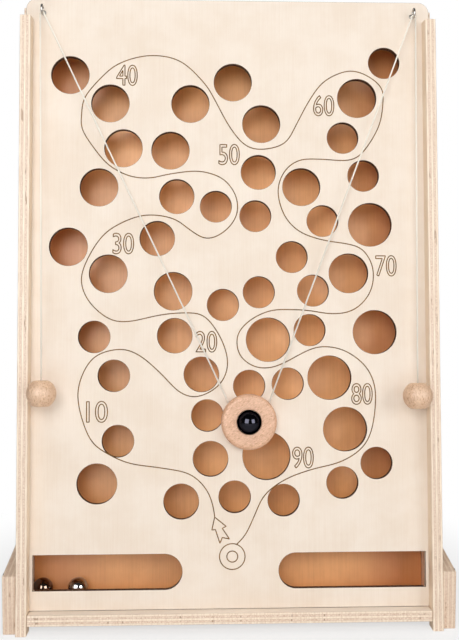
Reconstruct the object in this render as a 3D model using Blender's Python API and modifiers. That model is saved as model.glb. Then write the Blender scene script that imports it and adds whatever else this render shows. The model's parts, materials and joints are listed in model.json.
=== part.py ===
"""Tabletop ball-lifting hole game: a leaning plywood playfield with round traps, and a cord-hung ring carrier.

Metres, +Z up, the front faces -Y, and the soles of the two feet stand on Z = 0.
Positions on the playfield are written as (across, up, out): metres from the middle of the playfield's
bottom edge, measured along its face and out of its front.
"""

import math

import bmesh
import bpy
from mathutils import Matrix, Vector

# Whole machine
LEAN = math.radians(6.0)
BASE_HEIGHT = 0.0175
GAP = 0.0003
EDGE_ROUND = 0.0005

# Playfield board
BOARD_THICK = 0.006
BOARD_HALF = 0.1882
HEAD_HALF = 0.193
HEAD_SHOULDER = 0.5578
HEAD_TOP = 0.576
HEAD_CORNER = 0.010
HOLE_SEGMENTS = 20
CORNER_SEGMENTS = 6

# The one playfield sheet is kept as parts, each simple enough to have an open shape in collision.
# Each part spans (from across, to across, from up, to up); BEYOND is past the sheet's own edge.
BEYOND = 0.6
BOARD_PARTS = {
    "windows": (-BEYOND, BEYOND, -BEYOND, 0.066),
    "low": (-BEYOND, BEYOND, 0.066, 0.1895),
    "middle_left": (-BEYOND, -0.080, 0.1895, 0.2765),
    "middle": (-0.080, 0.065, 0.1895, 0.2765),
    "middle_right": (0.065, BEYOND, 0.1895, 0.2765),
    "upper": (-BEYOND, BEYOND, 0.2765, 0.3665),
    "high": (-BEYOND, BEYOND, 0.3665, 0.454),
    "head": (-BEYOND, BEYOND, 0.454, BEYOND),
}

# Round traps, in millimetres (across, up), grouped by diameter
TRAPS = {
    30: (
        (149, 516.5), (108.5, 443.5), (-13, 377), (-6.5, 283.5), (24.5, 368), (128, 407),
        (88.5, 363.5), (59, 329), (79, 297), (27.5, 295.5), (-127.5, 253.5), (-109, 217),
        (-105, 156), (-21.5, 179.5), (4, 103.5), (75.5, 259.5), (18, 207), (54.5, 209),
        (138, 134), (105.5, 116), (50, 100),
    ),
    33: (
        (-50, 386.5), (-68.5, 346.5), (27.5, 410), (-52, 254.5), (-27, 218), (-18.5, 139),
        (-46, 99.5),
    ),
    36: (
        (-151, 502.5), (-113, 475.5), (-37, 475.5), (-100.5, 432.5), (-56, 430.5), (3.5, 496.5),
        (30.5, 456.5), (-123.5, 395), (68.5, 396), (-152, 338.5), (-114.5, 313), (-53.5, 296.5),
    ),
    37.5: ((122.5, 482), (113, 313.5), (-124.5, 116.5)),
    41.5: ((134, 360), (36, 250.5), (137.5, 257.5), (94, 214.5), (108.5, 166)),
    45: ((34, 141.5),),
}

# Collecting windows, one at each side, square at the rail and round towards the middle
WINDOW_BOTTOM = 0.0184
WINDOW_TOP = 0.0512
WINDOW_SIDE = 0.1834
WINDOW_INNER = 0.045
WINDOW_SEGMENTS = 12

# Side rails
RAIL_IN = 0.1862
RAIL_OUT = 0.1962
RAIL_FRONT = 0.0135
RAIL_BACK = 0.0383
RAIL_TOP_HEIGHT = 0.571
RABBET_IN = 0.1885

# Bottom rail, tray floor, cleats, back panel and top rail
LEDGE_OUT = 0.0132
BOTTOM_RAIL_THICK = 0.010
TRAY_TOP = 0.005
TRAY_THICK = 0.006
BOX_BACK = 0.034
BACK_THICK = 0.004
BACK_BOTTOM = -0.004
CLEAT_IN = 0.178
CLEAT_BOTTOM = 0.060
CAP_THICK = 0.012

# Feet
FOOT_THICK = 0.012
FOOT_FRONT_HEIGHT = 0.054
FOOT_LENGTH = 0.162
FOOT_CREST = 0.095
FOOT_RISE = math.radians(10.5)
FOOT_TAIL_HEIGHT = 0.012
FOOT_SETBACK = 0.0057
FOOT_SEGMENTS = 12

# Screw eyes and cords
EYE_ACROSS = 0.1763
EYE_UP = 0.562
EYE_OUT = 0.009
EYE_RADIUS = 0.004
EYE_WIRE = 0.00095
EYE_SHANK = 0.0011
EYE_DEPTH = 0.013
EYE_COLLAR_RADIUS = 0.0024
EYE_COLLAR_THICK = 0.001
EYE_HOLE = 0.0015
EYE_HOLE_SEGMENTS = 12
EYE_WIRE_SIDES = 8
EYE_SEGMENTS = 20
EYE_SHANK_SEGMENTS = 12
EYE_COLLAR_SEGMENTS = 16
CORD_RADIUS = 0.00075
CORD_CLEAR = 0.0001
CORD_STATIONS = 16
CORD_BEND_STEPS = 8

# Ring carrier and its ball
CARRIER_ACROSS = 0.0173
CARRIER_UP = 0.1738
CARRIER_RADIUS = 0.026
CARRIER_HOLE = 0.0115
CARRIER_THICK = 0.012
CARRIER_ROUND = 0.0045
CARRIER_CHAMFER = 0.0006
CARRIER_ROUND_STEPS = 3
CARRIER_SEGMENTS = 36
CARRIER_BALL_RADIUS = 0.011
TIE_ANGLE = math.radians(41.0)
TIE_DEPTH = 0.002
TIE_BORE = 0.0015
TIE_CLEAR = 0.0005
TIE_SEGMENTS = 12

# Wooden pull beads
BEAD_RADIUS = 0.0135
BEAD_HEIGHT = 0.0235
BEAD_BORE = 0.0018
BEAD_ACROSS = 0.1724
BEAD_UP_LEFT = 0.2016
BEAD_UP_RIGHT = 0.1980
BEAD_OUT = 0.022
BEAD_CORD_DEPTH = 0.006
BEAD_ARC_STEPS = 8
BEAD_SEGMENTS = 28

# Steel balls lying in the tray
TRAY_BALL_RADIUS = 0.00975
TRAY_BALLS_ACROSS = (-0.1782, -0.1448)
BALL_SEGMENTS = 20

# Countersunk screws
SCREW_SHAFT = 0.0015
SCREW_HEAD = 0.0032
SCREW_HEAD_DEPTH = 0.0018
SCREW_CLEAR = 0.0003
SLOT_LENGTH = 0.0036
SLOT_WIDTH = 0.0008
SLOT_DEPTH = 0.0011
SCREW_SEGMENTS = 12
LONG_SCREW = 0.036
SHORT_SCREW = 0.019
BACK_SCREW = 0.014
TOP_SCREW = 0.028

BACK_SCREW_ACROSS = 0.183
BACK_SCREW_LEVELS = (0.090, 0.240, 0.390, 0.530)
TRAY_SCREWS_ACROSS = (-0.120, 0.0, 0.120)
TRAY_SCREW_LEVEL = 0.002
TOP_SCREW_IN = 0.020

# The machine's front and rear reach, so that it stands centred over the origin
FRONT_REACH = RAIL_FRONT / math.cos(LEAN) + BASE_HEIGHT * math.tan(LEAN)
REAR_REACH = FOOT_SETBACK + FOOT_LENGTH - FRONT_REACH
BASE_Y = (FRONT_REACH - REAR_REACH) / 2

COLOURS = {
    "playfield": (0.86, 0.76, 0.62, 1.0),
    "plywood": (0.80, 0.66, 0.48, 1.0),
    "back_plywood": (0.62, 0.42, 0.23, 1.0),
    "beech": (0.78, 0.50, 0.31, 1.0),
    "bead_wood": (0.74, 0.52, 0.33, 1.0),
    "steel": (0.62, 0.63, 0.65, 1.0),
    "dark_steel": (0.035, 0.038, 0.055, 1.0),
    "zinc": (0.52, 0.52, 0.50, 1.0),
    "cord": (0.90, 0.89, 0.86, 1.0),
}

# Roughness and metallic
FINISH = {
    "playfield": (0.55, 0.0),
    "plywood": (0.6, 0.0),
    "back_plywood": (0.65, 0.0),
    "beech": (0.5, 0.0),
    "bead_wood": (0.5, 0.0),
    "steel": (0.12, 1.0),
    "dark_steel": (0.08, 0.6),
    "zinc": (0.35, 1.0),
    "cord": (0.8, 0.0),
}


def board_point(across, up, out):
    """A point in the playfield's own directions, as a world position."""
    y = BASE_Y + up * math.sin(LEAN) - out * math.cos(LEAN)
    z = BASE_HEIGHT + up * math.cos(LEAN) + out * math.sin(LEAN)
    return Vector((across, y, z))


def up_at(height, inward):
    """How far up the playfield's direction a world height lies, at a distance behind the playfield's face."""
    return (height - BASE_HEIGHT + inward * math.sin(LEAN)) / math.cos(LEAN)


def new_collection(name):
    group = bpy.data.collections.new(name)
    bpy.context.scene.collection.children.link(group)
    return group


def make_material(name, kind):
    mat = bpy.data.materials.new(name)
    mat.use_nodes = True
    shader = mat.node_tree.nodes["Principled BSDF"]
    roughness, metallic = FINISH[kind]
    shader.inputs["Base Color"].default_value = COLOURS[kind]
    shader.inputs["Roughness"].default_value = roughness
    shader.inputs["Metallic"].default_value = metallic
    mat.diffuse_color = COLOURS[kind]
    return mat


def add_object(name, data, kind, place=(0, 0, 0), turn=(0, 0, 0)):
    """Put a mesh or curve in the scene as one named piece with a material of its own."""
    piece = bpy.data.objects.new(name, data)
    PIECES.objects.link(piece)
    piece.location = place
    piece.rotation_euler = turn
    if not data.materials:
        data.materials.append(make_material(name + "_" + kind, kind))
    return piece


def add_cutter(name, data, place=(0, 0, 0), turn=(0, 0, 0)):
    cutter = bpy.data.objects.new(name, data)
    CUTTERS.objects.link(cutter)
    cutter.location = place
    cutter.rotation_euler = turn
    cutter.hide_render = True
    cutter.display_type = "WIRE"
    return cutter


def combine(piece, cutter, operation="DIFFERENCE"):
    cut = piece.modifiers.new(operation.lower() + "_" + cutter.name, "BOOLEAN")
    cut.operation = operation
    cut.solver = "EXACT"
    cut.object = cutter


def round_edges(piece, width=EDGE_ROUND):
    edge = piece.modifiers.new("rounded_edges", "BEVEL")
    edge.width = width
    edge.segments = 1
    edge.limit_method = "ANGLE"
    edge.angle_limit = math.radians(40)


def prism_mesh(name, profile, x_low, x_high):
    """A slab whose outline in the YZ plane is drawn once and carried along X."""
    mesh = bpy.data.meshes.new(name)
    bm = bmesh.new()
    corners = [bm.verts.new((x_low, y, z)) for y, z in profile]
    side = bm.faces.new(corners)
    made = bmesh.ops.extrude_face_region(bm, geom=[side])
    moved = [item for item in made["geom"] if isinstance(item, bmesh.types.BMVert)]
    bmesh.ops.translate(bm, verts=moved, vec=(x_high - x_low, 0, 0))
    bmesh.ops.recalc_face_normals(bm, faces=bm.faces)
    bm.to_mesh(mesh)
    bm.free()
    return mesh


def box_mesh(name, low, high):
    mesh = bpy.data.meshes.new(name)
    bm = bmesh.new()
    bmesh.ops.create_cube(bm, size=1.0)
    size = [b - a for a, b in zip(low, high)]
    middle = [(a + b) / 2 for a, b in zip(low, high)]
    bmesh.ops.scale(bm, vec=size, verts=bm.verts)
    bmesh.ops.translate(bm, vec=middle, verts=bm.verts)
    bm.to_mesh(mesh)
    bm.free()
    return mesh


def cylinder_mesh(name, radius, low, high, segments):
    """A plain cylinder on the local Z axis."""
    mesh = bpy.data.meshes.new(name)
    bm = bmesh.new()
    bmesh.ops.create_cone(
        bm, cap_ends=True, segments=segments, radius1=radius, radius2=radius, depth=high - low
    )
    bmesh.ops.translate(bm, vec=(0, 0, (low + high) / 2), verts=bm.verts)
    bm.to_mesh(mesh)
    bm.free()
    return mesh


def sphere_mesh(name, radius, segments):
    mesh = bpy.data.meshes.new(name)
    bm = bmesh.new()
    bmesh.ops.create_uvsphere(bm, u_segments=segments, v_segments=segments // 2, radius=radius)
    for face in bm.faces:
        face.smooth = True
    bm.to_mesh(mesh)
    bm.free()
    return mesh


def profile_mesh(name, profile, closed):
    """The half-section of a turned piece: points (radius, height)."""
    mesh = bpy.data.meshes.new(name)
    bm = bmesh.new()
    points = [bm.verts.new((radius, 0, height)) for radius, height in profile]
    for first, second in zip(points, points[1:]):
        bm.edges.new((first, second))
    if closed:
        bm.edges.new((points[-1], points[0]))
    bm.to_mesh(mesh)
    bm.free()
    return mesh


def turn_profile(piece, steps):
    lathe = piece.modifiers.new("turned", "SCREW")
    lathe.angle = math.tau
    lathe.steps = steps
    lathe.render_steps = steps
    lathe.use_merge_vertices = True
    lathe.merge_threshold = 0.00001
    lathe.use_smooth_shade = True


def solid_of(piece):
    """Make the turned or curved piece a plain closed mesh, so that it can be cut."""
    graph = bpy.context.evaluated_depsgraph_get()
    mesh = bpy.data.meshes.new_from_object(piece.evaluated_get(graph))
    bm = bmesh.new()
    bm.from_mesh(mesh)
    bmesh.ops.remove_doubles(bm, verts=bm.verts, dist=0.000001)
    bmesh.ops.recalc_face_normals(bm, faces=bm.faces)
    bm.to_mesh(mesh)
    bm.free()
    return mesh


def circle_points(across, up, radius, segments):
    step = math.tau / segments
    return [
        (across + radius * math.cos(i * step), up + radius * math.sin(i * step))
        for i in range(segments)
    ]


def arc_points(across, up, radius, start, end, segments):
    return [
        (
            across + radius * math.cos(start + (end - start) * i / segments),
            up + radius * math.sin(start + (end - start) * i / segments),
        )
        for i in range(segments + 1)
    ]


def board_outline():
    """The playfield: narrow between the rails, and a wider head that rests over the rail tops."""
    quarter = math.pi / 2
    corner_up = HEAD_TOP - HEAD_CORNER
    corner_across = HEAD_HALF - HEAD_CORNER
    outline = [(-BOARD_HALF, GAP), (BOARD_HALF, GAP), (BOARD_HALF, HEAD_SHOULDER)]
    outline.append((HEAD_HALF, HEAD_SHOULDER))
    outline += arc_points(corner_across, corner_up, HEAD_CORNER, 0, quarter, CORNER_SEGMENTS)
    outline += arc_points(
        -corner_across, corner_up, HEAD_CORNER, quarter, 2 * quarter, CORNER_SEGMENTS
    )
    outline += [(-HEAD_HALF, HEAD_SHOULDER), (-BOARD_HALF, HEAD_SHOULDER)]
    return outline


def window_outline(side):
    """One collecting window; side is -1 for the left one and 1 for the right one."""
    radius = (WINDOW_TOP - WINDOW_BOTTOM) / 2
    middle = (WINDOW_TOP + WINDOW_BOTTOM) / 2
    quarter = math.pi / 2
    round_end = arc_points(
        WINDOW_INNER + radius, middle, radius, quarter, 3 * quarter, WINDOW_SEGMENTS
    )
    outline = [(WINDOW_SIDE, WINDOW_TOP)] + round_end + [(WINDOW_SIDE, WINDOW_BOTTOM)]
    return [(side * across, up) for across, up in outline]


def flat_plate(name, outlines, thickness):
    """A sheet cut to its first outline, with every other outline cut out of it."""
    curve = bpy.data.curves.new(name, "CURVE")
    curve.dimensions = "2D"
    curve.fill_mode = "BOTH"
    curve.extrude = thickness / 2
    for outline in outlines:
        spline = curve.splines.new("POLY")
        spline.points.add(len(outline) - 1)
        for point, (across, up) in zip(spline.points, outline):
            point.co = (across, up, 0, 1)
        spline.use_cyclic_u = True
    blank = bpy.data.objects.new(name + "_blank", curve)
    CUTTERS.objects.link(blank)
    mesh = solid_of(blank)
    bpy.data.objects.remove(blank)
    mesh.name = name
    return mesh


def sheet_part(name, sheet, span):
    """The part of a sheet inside a span, half a gap in from its cuts and closed again there."""
    left, right, low, high = span
    inset = GAP / 2
    cuts = (
        ((left + inset, 0, 0), (-1, 0, 0)),
        ((right - inset, 0, 0), (1, 0, 0)),
        ((0, low + inset, 0), (0, -1, 0)),
        ((0, high - inset, 0), (0, 1, 0)),
    )
    bm = bmesh.new()
    bm.from_mesh(sheet)
    for place, way in cuts:
        everything = bm.verts[:] + bm.edges[:] + bm.faces[:]
        bmesh.ops.bisect_plane(bm, geom=everything, plane_co=place, plane_no=way, clear_outer=True)
        rim = [edge for edge in bm.edges if edge.is_boundary]
        bmesh.ops.holes_fill(bm, edges=rim, sides=0)
    bmesh.ops.recalc_face_normals(bm, faces=bm.faces)
    mesh = bpy.data.meshes.new(name)
    bm.to_mesh(mesh)
    bm.free()
    return mesh


def make_playfield():
    outlines = [board_outline(), window_outline(-1), window_outline(1)]
    for diameter, places in TRAPS.items():
        for across, up in places:
            radius = diameter / 2000
            outlines.append(circle_points(across / 1000, up / 1000, radius, HOLE_SEGMENTS))
    for side in (-1, 1):
        outlines.append(circle_points(side * EYE_ACROSS, EYE_UP, EYE_HOLE, EYE_HOLE_SEGMENTS))
    sheet = flat_plate("play_board", outlines, BOARD_THICK)
    place = board_point(0, 0, -BOARD_THICK / 2)
    turn = (math.pi / 2 - LEAN, 0, 0)
    for word, span in BOARD_PARTS.items():
        name = "play_board_" + word
        add_object(name, sheet_part(name, sheet, span), "playfield", place, turn)


def leaning(name, mesh, kind):
    """A piece drawn in the case's leaning directions: X across, Y inward, Z up the playfield."""
    return add_object(name, mesh, kind, board_point(0, 0, 0), (-LEAN, 0, 0))


def leaning_cutter(name, mesh):
    return add_cutter(name, mesh, board_point(0, 0, 0), (-LEAN, 0, 0))


def make_rails():
    top_front = up_at(RAIL_TOP_HEIGHT, -RAIL_FRONT)
    top_back = up_at(RAIL_TOP_HEIGHT, RAIL_BACK)
    profile = [
        (-RAIL_FRONT, up_at(0, -RAIL_FRONT)),
        (RAIL_BACK, up_at(0, RAIL_BACK)),
        (RAIL_BACK, top_back),
        (-RAIL_FRONT, top_front),
    ]
    rails = {}
    for side, word in ((-1, "left"), (1, "right")):
        name = "side_rail_" + word
        low, high = sorted((side * RAIL_IN, side * RAIL_OUT))
        rail = leaning(name, prism_mesh(name, profile, low, high), "plywood")
        round_edges(rail)
        inner, outer = sorted((side * (RAIL_IN - 0.005), side * RABBET_IN))
        rabbet = box_mesh("rabbet_" + word, (inner, -GAP, -0.05), (outer, 0.06, 0.62))
        combine(rail, leaning_cutter("rabbet_" + word, rabbet))
        rails[side] = rail
    return rails


def make_bottom_rail():
    profile = [
        (-LEDGE_OUT, -BOTTOM_RAIL_THICK),
        (BOARD_THICK, -BOTTOM_RAIL_THICK),
        (BOARD_THICK, 0),
        (-LEDGE_OUT, 0),
    ]
    half = RAIL_IN - GAP
    piece = leaning("bottom_rail", prism_mesh("bottom_rail", profile, -half, half), "plywood")
    round_edges(piece)
    return piece


def make_tray_floor():
    front = BOARD_THICK + GAP
    back = BOX_BACK - GAP
    low = TRAY_TOP - TRAY_THICK
    profile = [(front, low), (back, low), (back, TRAY_TOP), (front, TRAY_TOP)]
    piece = leaning("tray_floor", prism_mesh("tray_floor", profile, -BOARD_HALF, BOARD_HALF), "plywood")
    round_edges(piece)
    return piece


def make_cleats():
    front = BOARD_THICK + GAP
    back = BOX_BACK - GAP
    top = RAIL_TOP_HEIGHT - GAP
    profile = [
        (front, CLEAT_BOTTOM),
        (back, CLEAT_BOTTOM),
        (back, up_at(top, back)),
        (front, up_at(top, front)),
    ]
    cleats = {}
    for side, word in ((-1, "left"), (1, "right")):
        name = "side_cleat_" + word
        low, high = sorted((side * CLEAT_IN, side * BOARD_HALF))
        cleats[side] = leaning(name, prism_mesh(name, profile, low, high), "plywood")
        round_edges(cleats[side])
    return cleats


def make_back_panel():
    outer = BOX_BACK + BACK_THICK
    top = RAIL_TOP_HEIGHT - GAP
    profile = [
        (BOX_BACK, BACK_BOTTOM),
        (outer, BACK_BOTTOM),
        (outer, up_at(top, outer)),
        (BOX_BACK, up_at(top, BOX_BACK)),
    ]
    mesh = prism_mesh("back_panel", profile, -BOARD_HALF, BOARD_HALF)
    return leaning("back_panel", mesh, "back_plywood")


def make_top_rail():
    """The cap that closes the case behind the playfield's head and holds the screw eyes."""
    front = BOARD_THICK + GAP
    low = RAIL_TOP_HEIGHT + GAP
    high = low + CAP_THICK
    profile = [
        (front, up_at(low, front)),
        (RAIL_BACK, up_at(low, RAIL_BACK)),
        (RAIL_BACK, up_at(high, RAIL_BACK)),
        (front, up_at(high, front)),
    ]
    piece = leaning("top_rail", prism_mesh("top_rail", profile, -RAIL_OUT, RAIL_OUT), "plywood")
    round_edges(piece)
    depth = EYE_DEPTH + 0.001
    for side, word in ((-1, "left"), (1, "right")):
        pilot = cylinder_mesh("eye_pilot_" + word, EYE_HOLE, -depth, 0.001, EYE_HOLE_SEGMENTS)
        place = board_point(side * EYE_ACROSS, EYE_UP, 0)
        cutter = add_cutter("eye_pilot_" + word, pilot, place, (math.pi / 2 - LEAN, 0, 0))
        combine(piece, cutter)
    return piece


def foot_profile():
    front = BASE_Y - FRONT_REACH + FOOT_SETBACK
    crest = FOOT_FRONT_HEIGHT + FOOT_CREST * math.tan(FOOT_RISE)
    profile = [(front, 0), (front + FOOT_LENGTH, 0)]
    for i in range(FOOT_SEGMENTS + 1):
        angle = math.pi / 2 * i / FOOT_SEGMENTS
        y = front + FOOT_CREST + (FOOT_LENGTH - FOOT_CREST) * math.cos(angle)
        z = FOOT_TAIL_HEIGHT + (crest - FOOT_TAIL_HEIGHT) * math.sin(angle)
        profile.append((y, z))
    profile.append((front, FOOT_FRONT_HEIGHT))
    return profile


def make_feet():
    feet = {}
    inner = RAIL_OUT + GAP
    for side, word in ((-1, "left"), (1, "right")):
        name = "foot_" + word
        low, high = sorted((side * inner, side * (inner + FOOT_THICK)))
        feet[side] = add_object(name, prism_mesh(name, foot_profile(), low, high), "plywood")
        round_edges(feet[side])
    return feet


def screw_section(length, clearance):
    """Half-section of a countersunk screw, its flat head at height 0."""
    head = SCREW_HEAD + clearance
    shaft = SCREW_SHAFT + clearance
    tip = -length - clearance
    return [
        (0, clearance),
        (head, clearance),
        (head, -0.0002),
        (shaft, -SCREW_HEAD_DEPTH - clearance),
        (shaft, tip + 0.002),
        (0, tip),
    ]


def turned_solid(name, section, closed, steps):
    """A turned piece made straight into a plain closed mesh."""
    blank = add_cutter(name + "_blank", profile_mesh(name + "_section", section, closed))
    turn_profile(blank, steps)
    body = solid_of(blank)
    bpy.data.objects.remove(blank)
    body.name = name
    return body


def make_screw(name, length, place, turn, pieces):
    """One screw with a slotted head, and its own hole in every piece that it passes through."""
    if length not in SCREW_SHAPES:
        tag = str(round(length * 1000))
        SCREW_SHAPES[length] = (
            turned_solid("screw_" + tag, screw_section(length, 0), False, SCREW_SEGMENTS),
            turned_solid(
                "screw_hole_" + tag, screw_section(length, SCREW_CLEAR), False, SCREW_SEGMENTS
            ),
        )
    body, hole = SCREW_SHAPES[length]
    screw = add_object(name, body, "zinc", place, turn)
    half = SLOT_LENGTH / 2
    width = SLOT_WIDTH / 2
    slot = box_mesh(name + "_slot", (-half, -width, -SLOT_DEPTH), (half, width, 0.001))
    combine(screw, add_cutter(name + "_slot", slot, place, turn))
    cutter = add_cutter(name + "_hole", hole, place, turn)
    for piece in pieces:
        combine(piece, cutter)
    return screw


def make_screws(rails, feet, bottom_rail, tray_floor, cleats, back_panel, top_rail):
    outer = RAIL_OUT + GAP + FOOT_THICK
    for side, word in ((-1, "left"), (1, "right")):
        turn = (0, side * math.pi / 2, 0)
        spots = (
            (LONG_SCREW, -0.005, 0.0045, (feet[side], rails[side], bottom_rail)),
            (LONG_SCREW, TRAY_SCREW_LEVEL, -0.020, (feet[side], rails[side], tray_floor)),
            (SHORT_SCREW, 0.034, 0.008, (feet[side], rails[side])),
        )
        for number, (length, up, out, pieces) in enumerate(spots, 1):
            name = "foot_screw_" + word + "_" + str(number)
            make_screw(name, length, board_point(side * outer, up, out), turn, pieces)
        rear = (-math.pi / 2 - LEAN, 0, 0)
        face = -BOX_BACK - BACK_THICK
        for number, up in enumerate(BACK_SCREW_LEVELS, 1):
            name = "back_screw_" + word + "_" + str(number)
            place = board_point(side * BACK_SCREW_ACROSS, up, face)
            make_screw(name, BACK_SCREW, place, rear, (back_panel, cleats[side]))
        above = RAIL_TOP_HEIGHT + GAP + CAP_THICK
        spot = board_point(side * BACK_SCREW_ACROSS, up_at(above, TOP_SCREW_IN), -TOP_SCREW_IN)
        make_screw("top_screw_" + word, TOP_SCREW, spot, (0, 0, 0), (top_rail, cleats[side]))
    for number, across in enumerate(TRAY_SCREWS_ACROSS, 1):
        place = board_point(across, TRAY_SCREW_LEVEL, -BOX_BACK - BACK_THICK)
        turn = (-math.pi / 2 - LEAN, 0, 0)
        make_screw("tray_screw_" + str(number), BACK_SCREW, place, turn, (back_panel, tray_floor))


def eye_centre(side):
    return board_point(side * EYE_ACROSS, EYE_UP, EYE_OUT)


def make_screw_eyes():
    """A bent wire ring, seen edge on from the front, with a shank through the playfield into the cap."""
    face_out = (math.pi / 2 - LEAN, 0, 0)
    for side, word in ((-1, "left"), (1, "right")):
        name = "screw_eye_" + word
        section = [
            (EYE_RADIUS + EYE_WIRE * math.cos(a), -EYE_WIRE * math.sin(a))
            for a in (math.tau * i / EYE_WIRE_SIDES for i in range(EYE_WIRE_SIDES))
        ]
        ring = turned_solid(name, section, True, EYE_SEGMENTS)
        ring.transform(Matrix.Rotation(math.pi / 2, 4, "Y"))
        eye = add_object(name, ring, "zinc", eye_centre(side), face_out)
        low = -EYE_OUT - EYE_DEPTH
        shank = cylinder_mesh(name + "_shank", EYE_SHANK, low, -EYE_RADIUS, EYE_SHANK_SEGMENTS)
        combine(eye, add_cutter(name + "_shank", shank, eye_centre(side), face_out), "UNION")
        foot = -EYE_OUT + GAP
        collar = cylinder_mesh(
            name + "_collar", EYE_COLLAR_RADIUS, foot, foot + EYE_COLLAR_THICK, EYE_COLLAR_SEGMENTS
        )
        combine(eye, add_cutter(name + "_collar", collar, eye_centre(side), face_out), "UNION")


def carrier_section():
    outer, inner = CARRIER_RADIUS, CARRIER_HOLE
    half = CARRIER_THICK / 2
    bend = CARRIER_ROUND
    section = [(inner + CARRIER_CHAMFER, half)]
    for i in range(CARRIER_ROUND_STEPS + 1):
        angle = math.pi / 2 * (1 - i / CARRIER_ROUND_STEPS)
        section.append(
            (outer - bend + bend * math.cos(angle), half - bend + bend * math.sin(angle))
        )
    for i in range(CARRIER_ROUND_STEPS + 1):
        angle = -math.pi / 2 * i / CARRIER_ROUND_STEPS
        section.append(
            (outer - bend + bend * math.cos(angle), bend - half + bend * math.sin(angle))
        )
    section.append((inner + CARRIER_CHAMFER, -half))
    section.append((inner, CARRIER_CHAMFER - half))
    section.append((inner, half - CARRIER_CHAMFER))
    return section


def carrier_middle():
    return board_point(CARRIER_ACROSS, CARRIER_UP, GAP + CARRIER_THICK / 2)


def tie_point(side):
    """Where a lift cord ends, a short way inside the carrier's rim."""
    radius = CARRIER_RADIUS - TIE_DEPTH
    across = CARRIER_ACROSS + side * radius * math.cos(TIE_ANGLE)
    up = CARRIER_UP + radius * math.sin(TIE_ANGLE)
    return board_point(across, up, GAP + CARRIER_THICK / 2)


def make_carrier():
    face_out = (math.pi / 2 - LEAN, 0, 0)
    mesh = turned_solid("carrier_ring", carrier_section(), True, CARRIER_SEGMENTS)
    ring = add_object("carrier_ring", mesh, "beech", carrier_middle(), face_out)
    for side, word in ((-1, "left"), (1, "right")):
        start = tie_point(side)
        turn = (cord_top(side, 1) - start).to_track_quat("Z", "Y").to_euler()
        bore = cylinder_mesh(
            "tie_bore_" + word, TIE_BORE, -TIE_CLEAR, 4 * TIE_DEPTH, TIE_SEGMENTS
        )
        combine(ring, add_cutter("tie_bore_" + word, bore, start, turn))
    out = GAP + CARRIER_BALL_RADIUS
    ball = sphere_mesh("carrier_ball", CARRIER_BALL_RADIUS, BALL_SEGMENTS)
    place = board_point(CARRIER_ACROSS, CARRIER_UP, out)
    add_object("carrier_ball", ball, "dark_steel", place)


def bend_radius():
    return EYE_WIRE + CORD_RADIUS + CORD_CLEAR


def cord_top(side, inner):
    """The end of the bend over an eye's lower wire: inner 1 faces the carrier, inner -1 faces the rail."""
    across = side * (EYE_ACROSS - inner * bend_radius())
    return board_point(across, EYE_UP - EYE_RADIUS, EYE_OUT)


def bead_up(side):
    return BEAD_UP_LEFT if side < 0 else BEAD_UP_RIGHT


def even_line(start, end, stations):
    return [start.lerp(end, i / stations) for i in range(stations + 1)]


def make_cord(name, points):
    curve = bpy.data.curves.new(name, "CURVE")
    curve.dimensions = "3D"
    curve.bevel_depth = CORD_RADIUS
    curve.bevel_resolution = 1
    curve.use_fill_caps = True
    spline = curve.splines.new("POLY")
    spline.points.add(len(points) - 1)
    for knot, place in zip(spline.points, points):
        knot.co = (*place, 1)
    add_object(name, curve, "cord")


def make_cords():
    """Each lift cord runs from the carrier over its eye; each pull cord hangs from there into a bead."""
    for side, word in ((-1, "left"), (1, "right")):
        route = even_line(tie_point(side), cord_top(side, 1), CORD_STATIONS)
        middle = board_point(side * EYE_ACROSS, EYE_UP - EYE_RADIUS, EYE_OUT)
        for i in range(1, CORD_BEND_STEPS):
            angle = math.pi * i / CORD_BEND_STEPS
            across = -side * bend_radius() * math.cos(angle)
            up = bend_radius() * math.sin(angle)
            step = board_point(across, up, 0) - board_point(0, 0, 0)
            route.append(middle + step)
        route.append(cord_top(side, -1))
        make_cord("lift_cord_" + word, route)
        bead_top = bead_up(side) + BEAD_HEIGHT / 2 - BEAD_CORD_DEPTH
        grip = board_point(side * BEAD_ACROSS, bead_top, BEAD_OUT)
        drop = cord_top(side, -1) + (grip - cord_top(side, -1)).normalized() * 2 * GAP
        make_cord("pull_cord_" + word, even_line(drop, grip, CORD_STATIONS))


def bead_section():
    half = BEAD_HEIGHT / 2
    flat = math.asin(half / BEAD_RADIUS)
    section = [(BEAD_BORE, half)]
    for i in range(BEAD_ARC_STEPS + 1):
        angle = flat - 2 * flat * i / BEAD_ARC_STEPS
        section.append((BEAD_RADIUS * math.cos(angle), BEAD_RADIUS * math.sin(angle)))
    section.append((BEAD_BORE, -half))
    return section


def make_beads():
    for side, word in ((-1, "left"), (1, "right")):
        name = "pull_bead_" + word
        section = profile_mesh(name, bead_section(), True)
        place = board_point(side * BEAD_ACROSS, bead_up(side), BEAD_OUT)
        bead = add_object(name, section, "bead_wood", place, (-LEAN, 0, 0))
        turn_profile(bead, BEAD_SEGMENTS)


def make_tray_balls():
    out = -BOX_BACK + 2 * GAP + TRAY_BALL_RADIUS
    up = TRAY_TOP + GAP + TRAY_BALL_RADIUS
    for number, across in enumerate(TRAY_BALLS_ACROSS, 1):
        name = "tray_ball_" + str(number)
        mesh = sphere_mesh(name, TRAY_BALL_RADIUS, BALL_SEGMENTS)
        add_object(name, mesh, "steel", board_point(across, up, out))


for old in list(bpy.data.objects):
    bpy.data.objects.remove(old)

PIECES = new_collection("ball_lifting_game")
CUTTERS = new_collection("cutters")
SCREW_SHAPES = {}

make_playfield()
side_rails = make_rails()
foot_plates = make_feet()
ledge = make_bottom_rail()
tray = make_tray_floor()
spacers = make_cleats()
rear_panel = make_back_panel()
cap = make_top_rail()
make_screws(side_rails, foot_plates, ledge, tray, spacers, rear_panel, cap)
make_screw_eyes()
make_carrier()
make_cords()
make_beads()
make_tray_balls()
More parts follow.
